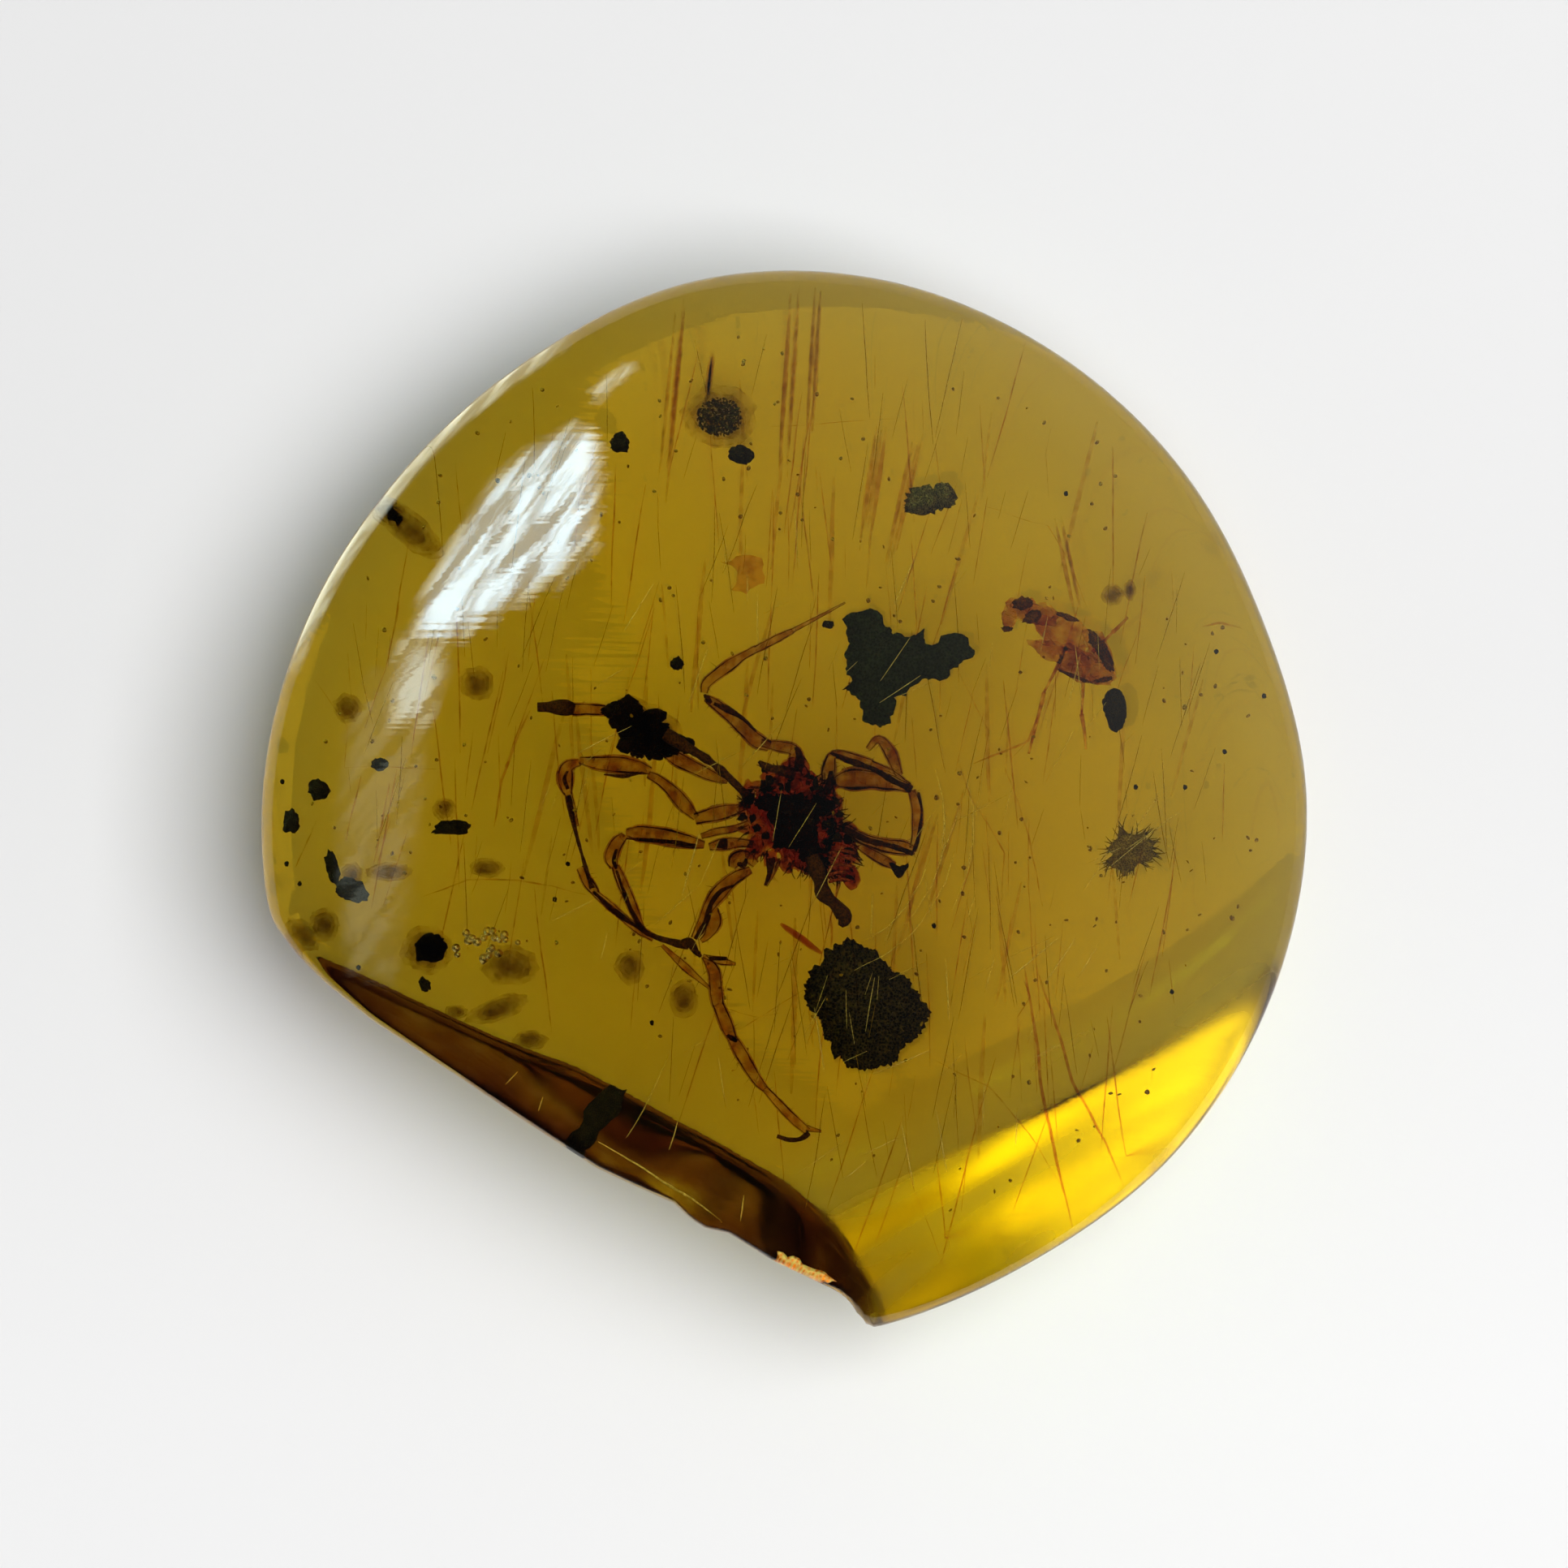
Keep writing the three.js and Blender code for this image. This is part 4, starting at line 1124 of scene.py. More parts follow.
DARK_PARTS = (  # the same for what is dark or dried inside
    ((-0.85, 0.06, 0.1), (-1.29, 0.5, 0.1), (-1.66, 0.81, 0.1), (-2.03, 1.05, 0.12), (-2.4, 1.27, 0.14),
     (-2.7, 1.46, 0.15)),
    ((-5.6, 2.06, 0.1), (-5.28, 2.06, 0.15), (-4.98, 2.05, 0.16), (-4.76, 2.01, 0.1)),
    ((-4.9, 0.06, 0.06), (-4.78, -0.54, 0.06), (-4.65, -1.05, 0.04), (-4.5, -1.57, 0.05),
     (-4.35, -2.05, 0.06)),
    ((-4.33, -2.12, 0.04), (-3.88, -2.53, 0.06), (-3.43, -2.86, 0.05), (-2.99, -3.12, 0.06),
     (-2.55, -3.27, 0.07), (-2.16, -3.36, 0.08)),
    ((-3.8, -1.64, 0.03), (-3.62, -2.16, 0.04), (-3.43, -2.6, 0.04), (-3.2, -2.99, 0.05)),
    ((-2.36, -3.29, 0.05), (-2.14, -3.27, 0.1), (-2.01, -3.47, 0.07), (-1.88, -3.6, 0.04)),
    ((0.64, -1.31, 0.19), (0.81, -1.79, 0.18), (0.89, -2.16, 0.15), (1.16, -2.42, 0.16),
     (1.37, -2.71, 0.15), (1.28, -2.91, 0.06)),
    ((0.57, -7.6, 0.06), (0.38, -7.74, 0.07), (0.11, -7.76, 0.05), (-0.16, -7.68, 0.04)),
    ((0.26, 0.54, 0.13), (-0.11, 0.63, 0.11), (-0.41, 0.71, 0.08), (-0.57, 0.83, 0.04)),
    ((1.06, 1.02, 0.04), (1.51, 0.83, 0.07), (2.03, 0.65, 0.06), (2.47, 0.39, 0.07), (2.9, 0.19, 0.08)),
    ((1.37, -0.72, 0.08), (1.96, -0.98, 0.07), (2.47, -1.1, 0.06), (2.93, -1.26, 0.06)),
    ((3.04, 0.13, 0.03), (3.12, -0.31, 0.03), (3.04, -0.9, 0.04), (2.95, -1.21, 0.07)),
    ((-1.59, 2.14, 0.04), (-1.29, 2.01, 0.07), (-0.92, 1.79, 0.04), (-0.63, 1.5, 0.02)),
    ((-3.58, -0.92, 0.02), (-3.06, -0.96, 0.05), (-2.55, -1, 0.05), (-1.99, -1.09, 0.04)),
    ((-4.08, 0.53, 0.02), (-3.66, 0.49, 0.04), (-3.21, 0.57, 0.03)),
    ((-1.14, -1.98, 0.02), (-1.44, -2.12, 0.05), (-1.66, -2.42, 0.05), (-1.77, -2.82, 0.07),
     (-2.01, -3.21, 0.05)),
    ((0.26, 1.16, 0.04), (0.35, 0.94, 0.06), (0.39, 0.68, 0.09)),
    ((-1.29, -3.64, 0.03), (-1.5, -3.64, 0.05), (-1.7, -3.64, 0.06)),
    ((-1.29, -5.37, 0.04), (-1.18, -5.45, 0.07), (-1.06, -5.52, 0.04)),
    ((1.07, 0.61, 0.04), (1, 0.28, 0.07), (0.81, 0.06, 0.12)),
    ((-0.3, -1.38, 0.1), (-0.33, -1.72, 0.07), (-0.42, -1.98, 0.03)),
    ((-1.29, -1.05, 0.09), (-1.4, -1.05, 0.1), (-1.53, -1.1, 0.05)),
    ((-0.85, -1.38, 0.04), (-0.92, -1.53, 0.07), (-1.06, -1.48, 0.04)),
    ((-1.81, 2.34, 0.03), (-1.74, 2.26, 0.06), (-1.65, 2.15, 0.04)),
    ((-4.91, 0.61, 0.03), (-4.98, 0.42, 0.04), (-4.9, 0.2, 0.04)),
    ((-3.8, -1.16, 0.03), (-3.86, -1.42, 0.05), (-3.8, -1.61, 0.04)),
)
BODY_CORE = (  # x, y, height, half widths and half height
    (0.36, -0.6, 0, 0.4, 0.5, 0.4), (0.08, -0.26, 0, 0.36, 0.3, 0.32), (0.6, -0.25, 0, 0.3, 0.18, 0.22),
    (-0.38, -0.1, 0.05, 0.24, 0.16, 0.18), (0.58, -1.15, 0, 0.24, 0.3, 0.26),
    (0.05, -0.9, 0, 0.26, 0.22, 0.22),
)
BODY_FLESH = (
    (-0.15, -0.4, 0, 0.72, 0.72, 0.42), (0.45, -0.75, 0, 0.66, 0.85, 0.45),
    (1.22, -1.2, 0, 0.42, 0.52, 0.36), (0.25, 0.2, 0.05, 0.66, 0.4, 0.3), (0.95, -0.3, 0, 0.34, 0.42, 0.3),
)
BODY_EDGE = (
    (-0.94, 0.15), (-0.52, 0.28), (-0.45, 0.72), (0.05, 0.62), (0.3, 0.8), (0.5, 0.5), (0.76, 0.5),
    (1.11, 0.2), (1.3, -0.4), (1.6, -1.0), (1.68, -1.42), (1.5, -1.85), (1.02, -1.85), (0.68, -1.66),
    (0.26, -1.66), (-0.09, -1.59), (-0.42, -1.33), (-0.76, -1.24), (-1.02, -0.57),
)
CRUST_EDGE = (
    (-4.06, 2.01), (-3.8, 2.14), (-3.47, 2.14), (-3.21, 1.96), (-2.92, 1.9), (-2.78, 1.55), (-2.33, 1.38),
    (-2.18, 1.19), (-2.55, 1.05), (-3.06, 1.02), (-3.54, 1.03), (-3.71, 1.22), (-3.54, 1.38), (-3.66, 1.61),
    (-3.95, 1.79),
)
CLAW_EDGE = ((2.37, -1.46), (2.62, -1.55), (2.84, -1.42), (2.77, -1.64), (2.59, -1.83))
RIBS = tuple(((1.01, y), (1.29, y + 0.07), (1.62, y + 0.01)) for y in (-1.26, -1.42, -1.58, -1.75, -1.91))
RIB_H, RIB_RADIUS = 0.36, 0.035


def leg_height(x, y):
    """How high a leg stands over the parting plane: highest in the middle of its span."""
    return 0.28 * math.sin(math.pi * min(1, math.hypot(x, y + 0.6) / 5.5)) - 0.03


def leg_path(part, uneven, scale, seed):
    """The path of a piece of leg, and its radii with an uneven share."""
    curve = curve_through(part)
    path = [inside(x, y, leg_height(x, y)) for x, y, r in curve]
    return path, curve[:, 2] * [1 + uneven * wobble(p, scale, seed).x for p in path]


def edge_strand(path, radii, side, seed):
    """A dark, uneven strand along one side of a hollow piece."""
    across = np.gradient(np.array([tuple(p) for p in path]), axis=0)
    across = np.stack((-across[:, 1], across[:, 0], 0 * across[:, 0]), 1)
    across /= np.linalg.norm(across, axis=1)[:, None]
    path = [p + Vector(a) * side * r * 0.72 for p, a, r in zip(path, across, radii)]
    return rod(path, [max(0.007, r * (0.07 + 0.13 * wobble(p, 2.2, seed).y)) for p, r in zip(path, radii)])


def lumps(shapes, grain, first_seed):
    """Very uneven lumps from their places and sizes."""
    return [
        lump(inside(x, y, h), size, rough=0.5, grain=grain, seed=i, detail=4)
        for i, (x, y, h, *size) in enumerate(shapes, first_seed)]


class AMBER_OT_spider(bpy.types.Operator):
    """Builds the spider: hollow legs, dark body and bristles"""
    bl_idname = "amber.spider"
    bl_label = "Spider"

    def execute(self, context):
        look = context.scene.amber_spider
        skins, strands = [], []
        for seed, part in enumerate(HOLLOW_PARTS):
            path, radii = leg_path(part, uneven=0.22, scale=2.5, seed=seed)
            skins.append(pipe(path, radii, 0.02 + 0.14 * radii))
            strands += [edge_strand(path, radii, side, seed + 9 * side) for side in (-1, 1)]
        for seed, part in enumerate(DARK_PARTS, 70):
            strands.append(rod(*leg_path(part, uneven=0.45, scale=3.5, seed=seed), sides=8))
        cuticle = new_object("spider_cuticle", *gather(skins))
        finish_piece(cuticle, clear_material("cuticle", "cuticle", look.cuticle_uptake), "spider", "spider")
        grow(
            "spider_bristles", "bristles", opaque_material("bristle"), "spider",
            seed_mesh=cuticle.data.copy(), density=look.bristles * 1e6, seed=RNG_SEED)
        body = lumps(BODY_CORE, grain=1.8, first_seed=0)
        body += crumbs(CRUST_EDGE, count=170, radii=(0.08, 0.19), h=0, depth=0.12, seed=11)
        body += crumbs(BODY_EDGE, count=34, radii=(0.05, 0.14), h=0.1, depth=0.3, seed=14)
        body.append(plate(CLAW_EDGE, h=0, thick=0.1, crumple=0.02, seed=12))
        build("spider_body", body, opaque_material("body"), "spider")
        strands += fringe(BODY_EDGE, count=90, length=(0.12, 0.4), radius=0.026, h=0, seed=15)
        build("spider_tissue", strands, opaque_material("tissue"), "spider")
        flesh = lumps(BODY_FLESH, grain=2.2, first_seed=80)
        flesh += crumbs(BODY_EDGE, count=60, radii=(0.14, 0.26), h=0, depth=0.2, seed=16)
        build("spider_flesh", flesh, clear_material("flesh", "flesh", look.flesh_uptake), "spider")
        ribs = []
        for rib in RIBS:
            path = [inside(x, y, RIB_H) for x, y in curve_through(rib)]
            ribs.append(rod(path, np.full(len(path), RIB_RADIUS)))
        build("spider_ribs", ribs, opaque_material("ribs"), "spider")
        return {"FINISHED"}


# ---- the litter ----

LEAF_EDGE = (
    (1.31, 4.04), (2.25, 3.97), (2.46, 3.71), (3.18, 3.84), (3.21, 3.49), (4.19, 3.45), (4.32, 3.32),
    (3.95, 2.95), (3.34, 2.7), (2.92, 2.53), (2.49, 2.27), (2.42, 1.68), (2.16, 1.59), (1.77, 1.75),
    (1.61, 2.31), (1.31, 2.44), (1.53, 2.7), (1.37, 3.19), (1.44, 3.6),
)
SPIKY_EDGE = (
    (7.62, -0.65), (7.9, -0.82), (8.23, -0.74), (8.24, -0.95), (8.44, -1), (8.35, -1.15), (8.47, -1.3),
    (8.18, -1.44), (7.95, -1.62), (7.74, -1.79), (7.59, -1.61), (7.31, -1.5), (7.48, -1.27), (7.33, -1.14),
    (7.58, -0.92),
)
FLAKE_EDGE = (
    (-1.45, 5.35), (-0.95, 5.5), (-0.5, 5.42), (-0.45, 4.85), (-0.85, 4.6), (-1.2, 4.7), (-1.05, 5.1),
)
WOOD_GIRTH = (
    1.26, 1.13, 1.07, 1, 1, 1.11, 1.29, 1.44, 1.37, 1.28, 1.32, 1.33, 1.2, 1.02, 1, 1.05, 1.19, 1.31, 1.36,
    1.35, 1.29, 1.11, 1.19, 1.3,
)
PELLET_GIRTH = (0.25, 0.3, 0.45, 0.35, 0.26, 0.28, 0.5, 0.32)
CLUMP = (  # x, y, height, half widths and half height, grain
    (3.15, 6.74, 0.2, 0.36, 0.3, 0.28, 2.2), (3.62, 6.85, 0.15, 0.3, 0.28, 0.26, 2.4),
    (2.9, 6.6, 0.15, 0.16, 0.14, 0.12, 2.4),
)
INSECT_BODY = (  # x, y, height, half widths and half height, turn in degrees
    (5.4, 4.3, 0.3, 0.36, 0.24, 0.2, 0), (5.85, 4.15, 0.3, 0.36, 0.24, 0.16, -15),
    (5.1, 4.1, 0.3, 0.17, 0.26, 0.12, 0), (6.2, 3.27, 0.3, 0.6, 0.22, 0.16, -24),
    (6.72, 3.01, 0.3, 0.62, 0.34, 0.2, -28), (7.16, 3.34, 0.3, 0.24, 0.46, 0.2, 28),
    (7.24, 2.84, 0.3, 0.3, 0.24, 0.16, 0), (6.35, 3.75, 0.32, 0.62, 0.36, 0.05, -20),
)
INSECT_DARK = (
    (5.4, 4.4, 0.34, 0.22, 0.13, 0.1, 0), (5.62, 4.1, 0.34, 0.2, 0.13, 0.1, 30),
    (6.42, 4.1, 0.36, 0.25, 0.06, 0.05, -20), (7.1, 3.5, 0.38, 0.13, 0.3, 0.1, 30),
    (7.3, 3.15, 0.34, 0.1, 0.3, 0.1, 25), (5.06, 3.83, 0.3, 0.12, 0.06, 0.06, 0),
    (6.6, 2.75, 0.3, 0.4, 0.04, 0.05, -22), (7.25, 2.68, 0.3, 0.2, 0.05, 0.05, 10),
)
INSECT_LEGS = (
    ((6.4, 3.4, 0.2), (5.9, 2.4, 0.1), (5.55, 1, 0)), ((6.8, 3, 0.2), (6.75, 1.9, 0.1), (6.85, 1.1, 0)),
    ((7, 3.3, 0.2), (7.45, 3.75, 0.15), (7.8, 4.1, 0.1)),
)
GRAINS = (  # x, y, height, half width, half depth, turn in degrees
    (-3.7, 8.04, 0.5, 0.21, 0.21, 0), (-0.96, 7.78, 0.5, 0.27, 0.19, -20), (1, 3.92, 0.6, 0.13, 0.09, 0),
    (-2.42, 3.05, 0.2, 0.14, 0.14, 0), (-10.58, 0.18, 0, 0.22, 0.22, 30), (-11.2, -0.55, 0, 0.17, 0.25, 0),
    (-10.26, -1.58, 0.1, 0.15, 0.36, 10), (-9.86, -2.1, -0.2, 0.38, 0.24, -25),
    (-9.18, 0.76, 0, 0.19, 0.14, 0), (-7.55, -0.67, 0.1, 0.4, 0.16, 5), (-8.05, -3.4, -0.5, 0.34, 0.3, 40),
    (-8.16, -4.25, 0, 0.12, 0.16, 20),
)
INSECT_UPTAKE, FLAKE_UPTAKE = (1.5, 3.4, 9), (1.5, 3.5, 9)  # what light loses per millimetre


def leg_rod(start, end, seed, steps=11):
    """A slightly bent hollow piece of leg that tapers between two joints."""
    share = np.linspace(0, 1, steps)
    start, end = inside(*start), inside(*end)
    bend = wobble(start, 1.3, seed) * 0.05
    path = [start.lerp(end, t) + bend * math.sin(math.pi * t) for t in share]
    return pipe(path, 0.05 - 0.02 * share, 0.012, 8)


def turned_lump(x, y, h, wide, deep, high, degrees, rough, seed, grain=2.4):
    """A lump turned about the upright through its centre."""
    centre = inside(x, y, h)
    corners, faces = lump(centre, (wide, deep, high), rough, grain, seed)
    turn = Matrix.Rotation(math.radians(degrees), 3, "Z")
    return [turn @ (Vector(c) - centre) + centre for c in corners], faces


class AMBER_OT_litter(bpy.types.Operator):
    """Builds the leaf, wood, insect, flakes, pellets and grains"""
    bl_idname = "amber.litter"
    bl_label = "Litter"

    def execute(self, context):
        leaf = plate(LEAF_EDGE, h=0.75, thick=0.13, lean=0.06, crumple=0.05, seed=3, splits=3, amount=0.3)
        build("leaf_detail", [leaf], opaque_material("leaf"), "leaf", "leaf_fragment")
        wood = lump(
            inside(1.85, -4.74, -0.2), (1, 1, 0.7), rough=0.18, grain=5, seed=5, detail=6, girth=WOOD_GIRTH)
        build("wood_detail", [wood], opaque_material("wood"), "wood", "wood_fragment")
        self.build_insect()
        spiky = [plate(SPIKY_EDGE, h=-0.3, thick=0.26, crumple=0.08, seed=7)]
        spiky += fringe(SPIKY_EDGE, count=70, length=(0.15, 0.5), radius=0.022, h=-0.15, seed=8)
        build("spiky_detail", spiky, opaque_material("spiky"), "plant", "spiky_fragment")
        flake = plate(FLAKE_EDGE, h=0.9, thick=0.06, crumple=0.06, seed=9)
        brown = clear_material("flake", "flake", FLAKE_UPTAKE)
        build("flake_detail", [flake], brown, "plant", "brown_flake")
        dark = opaque_material("grain")
        pellet = lump(
            inside(7.52, 2.02, -0.1), (1, 1, 0.24), rough=0.12, grain=3, seed=3, detail=4, girth=PELLET_GIRTH)
        build("pellet_detail", [pellet], dark, "grain", "oval_pellet")
        clump = [
            lump(inside(x, y, h), size, rough=0.5, grain=grain, seed=i)
            for i, (x, y, h, *size, grain) in enumerate(CLUMP, 1)]
        build("clump_detail", clump, opaque_material("clump"), "grain", "litter_clump")
        for i, (x, y, h, wide, deep, turn) in enumerate(GRAINS):
            grain = turned_lump(x, y, h, wide, deep, min(wide, deep), turn, rough=0.4, seed=i, grain=1.7)
            build(f"grain_detail_{i + 1:02d}", [grain], dark, "grain", f"grain_{i + 1:02d}")
        grow(
            "dust_detail", "specks", opaque_material("dust"), "dust", "dust_ball",
            count=900, centre=tuple(inside(-1.46, 8.64, 0.3)), half_size=(0.5, 0.42, 0.3),
            seed=RNG_SEED, smallest=(0.01,) * 3, largest=(0.035,) * 3)
        return {"FINISHED"}

    def build_insect(self):
        hulls = [turned_lump(*shape, rough=0.4, seed=i) for i, shape in enumerate(INSECT_BODY, 20)]
        for i, joints in enumerate(INSECT_LEGS, 60):
            hulls += [leg_rod(a, b, seed=i) for a, b in zip(joints, joints[1:])]
        clear = clear_material("insect", "insect", INSECT_UPTAKE)
        build("insect_detail", hulls, clear, "insect", "insect_remains")
        tissue = [turned_lump(*shape, rough=0.5, seed=i) for i, shape in enumerate(INSECT_DARK, 40)]
        build("insect_tissue", tissue, opaque_material("insect_tissue"), "insect")


# ---- fibres, hairs, scratches and specks ----

HAIRS = (  # (x, y, height) along each hair, and its half thickness
    (((-0.3, 8.42, 0.9), (2.46, 8.57, 0.9)), 0.012),
    (((4.62, 6.55, 0.6), (5.98, 6.17, 0.6), (6.48, 5.32, 0.6), (6.83, 4.3, 0.6)), 0.012),
    (((9.51, 3.93, 0.3), (9.91, 4.01, 0.3), (10.39, 3.88, 0.3)), 0.03),
    (((4.28, 0.79, 0.8), (5.52, 1.27, 0.8), (5.91, 2.25, 0.8)), 0.03),
    (((4.01, 2.79, 0.5), (4.65, 1.44, 0.5)), 0.02),
    (((3.95, 0.89, 0.6), (4.28, -0.13, 0.6), (5.04, -1.27, 0.6), (4.93, -2.36, 0.6)), 0.02),
    (((5.04, 0.63, 0.5), (5.58, -0.89, 0.5), (5.85, -2.47, 0.5)), 0.02),
    (((5.43, -3.78, 0.4), (6.09, -7.77, 0.3), (6.39, -9.1, 0.1), (6.54, -9.77, 0)), 0.045),
    (((5.72, -3.86, 0.5), (6.54, -6.44, 0.3), (7.35, -7.85, 0.1), (7.72, -8.81, 0)), 0.04),
    (((5.28, -3.78, 0.3), (5.58, -4.52, 0.3), (5.28, -4.97, 0.3), (5.43, -6.89, 0.2)), 0.018),
    (((3.36, -5.93, 0.3), (4.69, -6.59, 0.3), (5.58, -7.62, 0.2), (6.31, -8.81, 0.1)), 0.018),
    (((2.77, -6.74, 0.2), (2.77, -8.36, 0.1), (3.73, -11.02, 0)), 0.012),
    (((-10.67, 2.71, 0), (-9.91, 1.62, 0), (-10.02, 0.68, 0)), 0.015),
    (((-10.02, 0.68, 0), (-7.81, 0.7, 0)), 0.01),
    (((-5.76, 1.96, 0.3), (-6.39, 0.42, 0.3), (-6.59, -0.68, 0.3)), 0.035),
    (((-8.92, 0.31, 0.2), (-9.08, -0.37, 0.2), (-9.34, -1.53, 0.2)), 0.025),
    (((-9.6, 0.48, 0.1), (-9.93, -1, 0.1)), 0.02), (((-10.62, -0.46, 0), (-11.1, -1.6, 0)), 0.02),
    (((-8.23, -2.22, 0.2), (-7.18, -1.85, 0.2), (-6.02, -1.85, 0.2), (-5.2, -1.95, 0.2),
      (-4.36, -2.22, 0.1)), 0.022),
    (((1.03, -2.53, 0), (1.09, -2.97, 0), (1.07, -3.4, 0)), 0.03),
    (((0.44, -4.35, 0.1), (-0.3, -4.8, 0.1), (-0.9, -5.2, 0.1), (-1.44, -5.39, 0.1)), 0.014),
    (((-1.3, -4.75, 0.1), (-0.6, -4.95, 0.1), (-0.1, -4.85, 0.1)), 0.014),
)
SCRATCHES = (  # as for the hairs
    (((-3.58, -7.7, 0.7), (-3.21, -7.14, 0.7), (-2.9, -6.5, 0.7), (-2.6, -5.8, 0.7)), 0.012),
    (((-1, -9.6, 0.6), (-0.9, -9, 0.6)), 0.018), (((-5.56, -7.1, 0.6), (-5.46, -6.78, 0.6)), 0.013),
    (((-2.6, -7.98, 0.7), (-2.42, -7.33, 0.7)), 0.013), (((-6.3, -6.5, 0.6), (-6.02, -6.2, 0.6)), 0.013),
    (((-4.2, -7.8, 0.8), (-3.2, -8.4, 0.8), (-2.1, -9.05, 0.8), (-1.4, -9.6, 0.8)), 0.022),
)
CRACKS = ((3.0, -62, -5), (3.25, -50, 30), (3.5, -70, 0), (3.9, -30, 28))  # radius, azimuths
CRACK_CENTRE, CRACK_H, CRACK_THICKNESS = (0.4, -0.6), 1.3, 0.009
SLIVERS = ((((-0.09, -2.86, 0.3), (0.35, -3.15, 0.3), (0.85, -3.54, 0.3)), 0.09),)
BREAK_CHIP = (
    (-3.95, -6.5), (-3.55, -6.6), (-3.75, -7.2), (-4.25, -7.75), (-4.6, -8.0), (-4.95, -7.75),
    (-4.55, -7.1),
)
GLINT_EDGE = (
    (-0.15, -10.25), (0.35, -10.42), (0.85, -10.7), (1.2, -10.95), (0.85, -10.92), (0.3, -10.64),
    (-0.1, -10.4),
)
BANDS = (  # soft brown streaks: x and y of both ends, and the half width
    (0.22, 11.7, -0.08, 7.0, 0.12), (0.76, 11.7, 0.55, 8.2, 0.08), (-2.33, 11.4, -2.8, 6.6, 0.09),
    (-1.6, 10.2, -1.75, 8.9, 0.05), (2.2, 8.6, 1.75, 5.4, 0.12), (3.05, 8.3, 2.35, 5.2, 0.1),
    (6.2, 6.4, 6.7, 4.0, 0.1),
)
BAND_LEVELS, BAND_STEPS = 6, 14  # strands in each streak, one above the other, and points along each
SMUDGES = (  # x, y, half widths, turn in degrees
    (-9.9, 2.03, 0.25, 0.25, 0), (-10.45, -2.9, 0.25, 0.3, 0), (-10.9, -3.1, 0.35, 0.2, -45),
    (-8.97, -1.68, 0.4, 0.16, 0), (-9.82, -1.74, 0.2, 0.2, 0), (-6.74, -1.59, 0.3, 0.17, 0),
    (-7.7, -0.26, 0.2, 0.2, 0), (-5.76, -5.5, 0.3, 0.17, 0), (-6.22, -3.8, 0.5, 0.35, 0),
    (-6.5, -4.8, 0.55, 0.2, 20), (-7.44, -4.85, 0.2, 0.12, 0), (-3.49, -3.82, 0.25, 0.3, 0),
    (-2.27, -4.56, 0.25, 0.35, 0), (-6.96, 2.6, 0.3, 0.3, 0), (-8.5, 6.1, 0.7, 0.28, -43),
    (-9.0, 6.5, 0.4, 0.25, -43), (-1.46, 8.64, 0.62, 0.52, 0), (7.46, 4.6, 0.2, 0.18, 0),
    (7.85, 4.71, 0.1, 0.18, 0), (-8.1, -3.45, 0.45, 0.4, 0), (-3.1, 1.6, 0.7, 0.4, -30),
)
SMUDGE_SHARES = (("smudge_outer", 1.3), ("smudge_middle", 0.95), ("smudge_inner", 0.6))
SMUDGE_H = 0.2  # how high a smudge lies, and its half height
DARK_SPECKS = (
    (-11.4, 0.37), (-11.3, -1.5), (-11.0, -1.95), (-9.66, -3.85), (9.82, 3.32), (10.91, 2.31), (10, 1.05),
    (7.98, 0.24), (9.1, 0.24), (-5.2, -2.3), (-4.9, -1.5), (-3, -5.1), (3.4, -2.9), (6.4, 6.9), (-6.5, 7.2),
    (8.8, -4.4),
)
BUBBLE_FIELD, BUBBLES = ((-7.5, -3.7), (-5.9, -3.0)), 26  # opposite corners of their place, and how many
FINE_UPTAKE = 2.2  # how much more a fine fibre takes up than a hair


def crack(radius, low, high):
    """A thin arc round the spider's body."""
    turns = [math.radians(a) for a in range(low, high, 12)]
    x, y = CRACK_CENTRE
    path = [(x + radius * math.cos(a), y + radius * math.sin(a), CRACK_H) for a in turns]
    return path, CRACK_THICKNESS


def band_strand(band, level, rng):
    """One soft strand of a streak, at a height of its own."""
    x1, y1, x2, y2, half = band
    shift, first, last = rng.uniform((-1.3 * half, 0, 0.75), (1.3 * half, 0.12, 1))
    shares = np.linspace(first, last, BAND_STEPS)
    radii = rng.uniform(0.03, 0.065) * np.sin(np.linspace(0.3, math.pi - 0.3, BAND_STEPS))
    h = 0.15 * level - 0.4
    return rod([inside(x1 + (x2 - x1) * t + shift, y1 + (y2 - y1) * t, h) for t in shares], radii)


def bubble(i, rng):
    centre = inside(*rng.uniform(*BUBBLE_FIELD), 0.15 + 0.03 * i)
    return lump(centre, (rng.uniform(0.06, 0.12),) * 3, rough=0, grain=1, seed=0, detail=2)


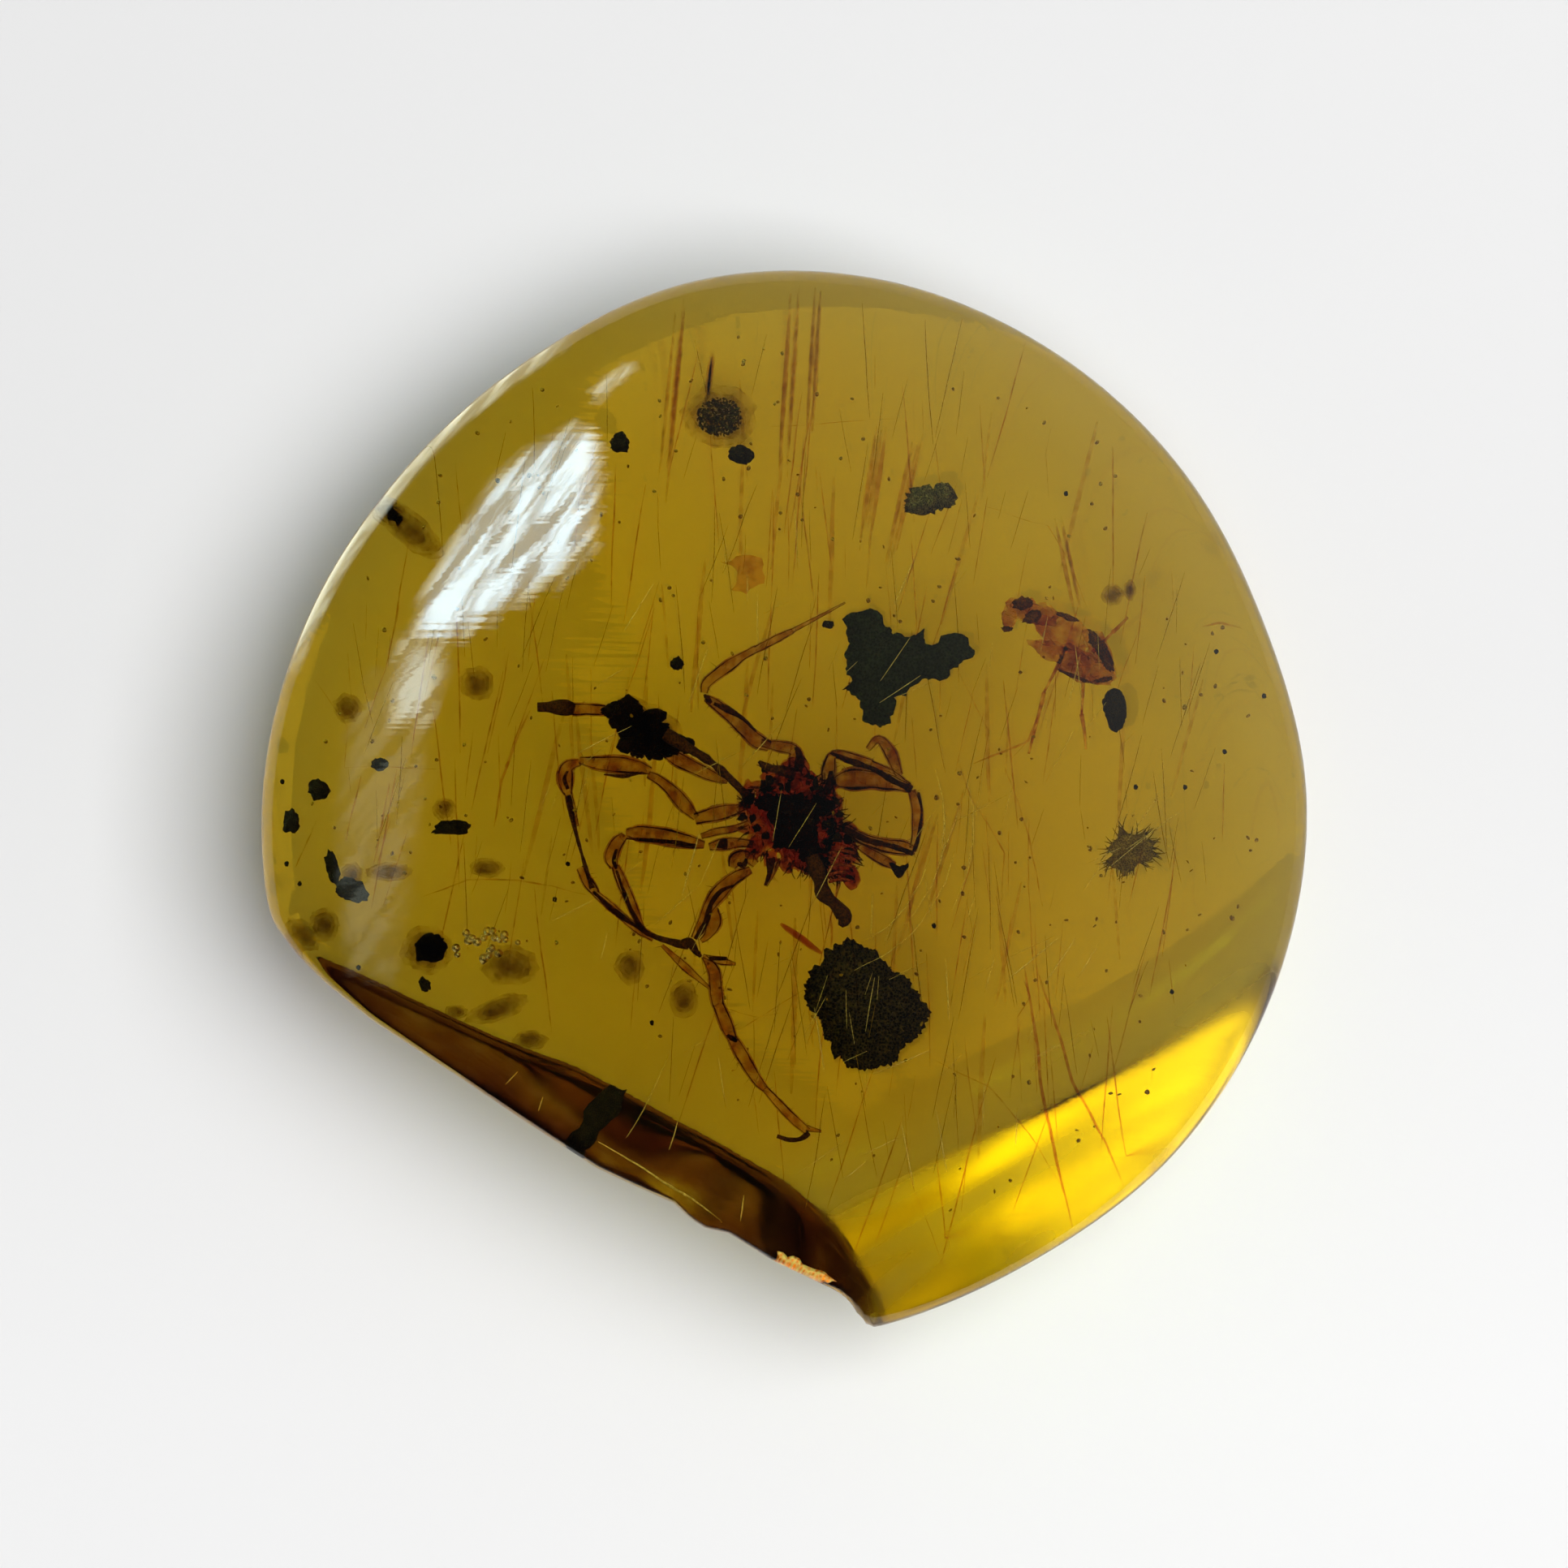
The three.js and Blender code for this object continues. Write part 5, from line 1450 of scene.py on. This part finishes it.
class AMBER_OT_smudges(bpy.types.Operator):
    """Builds the soft brown smudges and streaks, and the bubbles"""
    bl_idname = "amber.smudges"
    bl_label = "Smudges and bubbles"

    def execute(self, context):
        look = context.scene.amber_fibres
        for name, share in SMUDGE_SHARES:
            clouds = [
                turned_lump(
                    x, y, SMUDGE_H, wide * share, deep * share, SMUDGE_H * share, turn, rough=0.22, seed=i)
                for i, (x, y, wide, deep, turn) in enumerate(SMUDGES)]
            build(name, clouds, clear_material(name, "smudge", look.smudge_uptake), "plant")
        rng = np.random.default_rng(RNG_SEED)
        veil = clear_material("veil", "veil", look.veil_uptake)
        strands = [band_strand(band, level, rng) for band in BANDS for level in range(BAND_LEVELS)]
        build("bands", strands, veil, "plant")
        clear = clear_material("bubble", "bubble", (0, 0, 0))
        build("bubbles", [bubble(i, rng) for i in range(BUBBLES)], clear, "amber")
        # The flake under the break is a painted glint: its bright orange metal stands in for light caught at
        # the broken side.
        glint_film = opaque_material("break_flake")
        glint_film.node_tree.nodes["Principled BSDF"].inputs["Metallic"].default_value = 1.0
        flake = plate(GLINT_EDGE, h=1.1, thick=0.03, crumple=0.02, seed=5)
        build("break_flake", [flake], glint_film, "amber")
        grow(
            "veils", "fibres", veil, "plant",
            count=look.veils, centre=(1.5, 1, 3.6), half_size=(7.6, 8.2, 0.9), seed=RNG_SEED + 5,
            shortest=1.5, longest=4, thinnest=0.025, thickest=0.075,
            turned_least=(-0.05, 0, -0.3), turned_most=(0.05, 0, 0.12))
        return {"FINISHED"}


class AMBER_OT_fibres(bpy.types.Operator):
    """Scatters plant fibres, hairs, golden threads and specks through the stone"""
    bl_idname = "amber.fibres"
    bl_label = "Fibres and specks"

    def execute(self, context):
        look = context.scene.amber_fibres
        brown = opaque_material("speck")
        hair = clear_material("hair", "hair", look.hair_uptake)
        fine = clear_material("fibre", "hair", [FINE_UPTAKE * value for value in look.hair_uptake])
        gold = opaque_material("gold_thread")
        grow("hairs", "threads", hair, "plant", seed_mesh=thread_mesh(HAIRS), wander=0.25, waviness=500.0)
        grow("slivers", "threads", hair, "plant", seed_mesh=thread_mesh(SLIVERS), wander=0.1)
        pale = (*SCRATCHES, *(crack(*arc) for arc in CRACKS))
        grow("scratches", "threads", gold, "plant", seed_mesh=thread_mesh(pale), wander=0.1)
        grow(
            "fibres", "fibres", fine, "plant",
            count=look.fibres, centre=(0, 0, 3.4), half_size=(10.3, 10.0, 1.3), seed=RNG_SEED,
            shortest=0.6, longest=3.4, thinnest=0.008, thickest=0.02,
            turned_least=(-0.1, 0, -0.35), turned_most=(0.1, 0, 0.12))
        grow(
            "wisps", "fibres", brown, "plant",
            count=look.fibres, centre=(0, 1, 3.4), half_size=(10.0, 9.0, 1.3), seed=RNG_SEED + 9,
            shortest=0.5, longest=2.6, thinnest=0.004, thickest=0.01,
            turned_least=(-0.1, 0, -0.4), turned_most=(0.1, 0, 0.2))
        grow(
            "gold_threads", "fibres", gold, "plant",
            count=look.threads, centre=(1.5, -1.5, 5.0), half_size=(7.5, 7.5, 0.3), seed=RNG_SEED + 1,
            shortest=0.4, longest=1.6, thinnest=0.004, thickest=0.01,
            turned_least=(0, 0, -1.2), turned_most=(0, 0, 0.2), wander=0.1)
        grow(
            "specks", "specks", brown, "plant",
            count=look.specks, centre=(0, 0, 3.6), half_size=(10.6, 10.4, 1.2), seed=RNG_SEED + 2,
            smallest=(0.015,) * 3, largest=(0.06,) * 3)
        chips = [
            lump(inside(x, y, 0.2), (0.05, 0.06, 0.05), rough=0.4, grain=2, seed=i, detail=2)
            for i, (x, y) in enumerate(DARK_SPECKS)]
        chips.append(plate(BREAK_CHIP, h=0.55, thick=0.05, crumple=0.03, seed=21))
        build("dark_specks", chips, opaque_material("dark_speck"), "grain")
        return {"FINISHED"}


class AMBER_PT_panel(bpy.types.Panel):
    """Lists the pieces in the order in which they are made"""
    bl_label = "Spider in amber"
    bl_space_type = "VIEW_3D"
    bl_region_type = "UI"
    bl_category = "Amber"

    def draw(self, context):
        for operator in OPERATORS:
            self.layout.operator(operator.bl_idname)


SETTINGS = {
    "amber_stone": StoneSettings, "amber_stage": StageSettings, "amber_spider": SpiderSettings,
    "amber_fibres": FibreSettings,
}
OPERATORS = (
    AMBER_OT_stage, AMBER_OT_stone, AMBER_OT_spider, AMBER_OT_litter, AMBER_OT_fibres, AMBER_OT_smudges)


def register():
    noise.seed_set(RNG_SEED)
    for cls in (*SETTINGS.values(), *OPERATORS, AMBER_PT_panel):
        bpy.utils.register_class(cls)
    for name, cls in SETTINGS.items():
        setattr(bpy.types.Scene, name, bpy.props.PointerProperty(type=cls))


def unregister():
    for name in SETTINGS:
        delattr(bpy.types.Scene, name)
    for cls in (AMBER_PT_panel, *reversed(OPERATORS), *reversed(SETTINGS.values())):
        bpy.utils.unregister_class(cls)


def main():
    register()
    bpy.context.scene.view_settings.view_transform = "Standard"
    for operator in OPERATORS:
        group, name = operator.bl_idname.split(".")
        getattr(getattr(bpy.ops, group), name)()


if __name__ == "__main__":
    main()
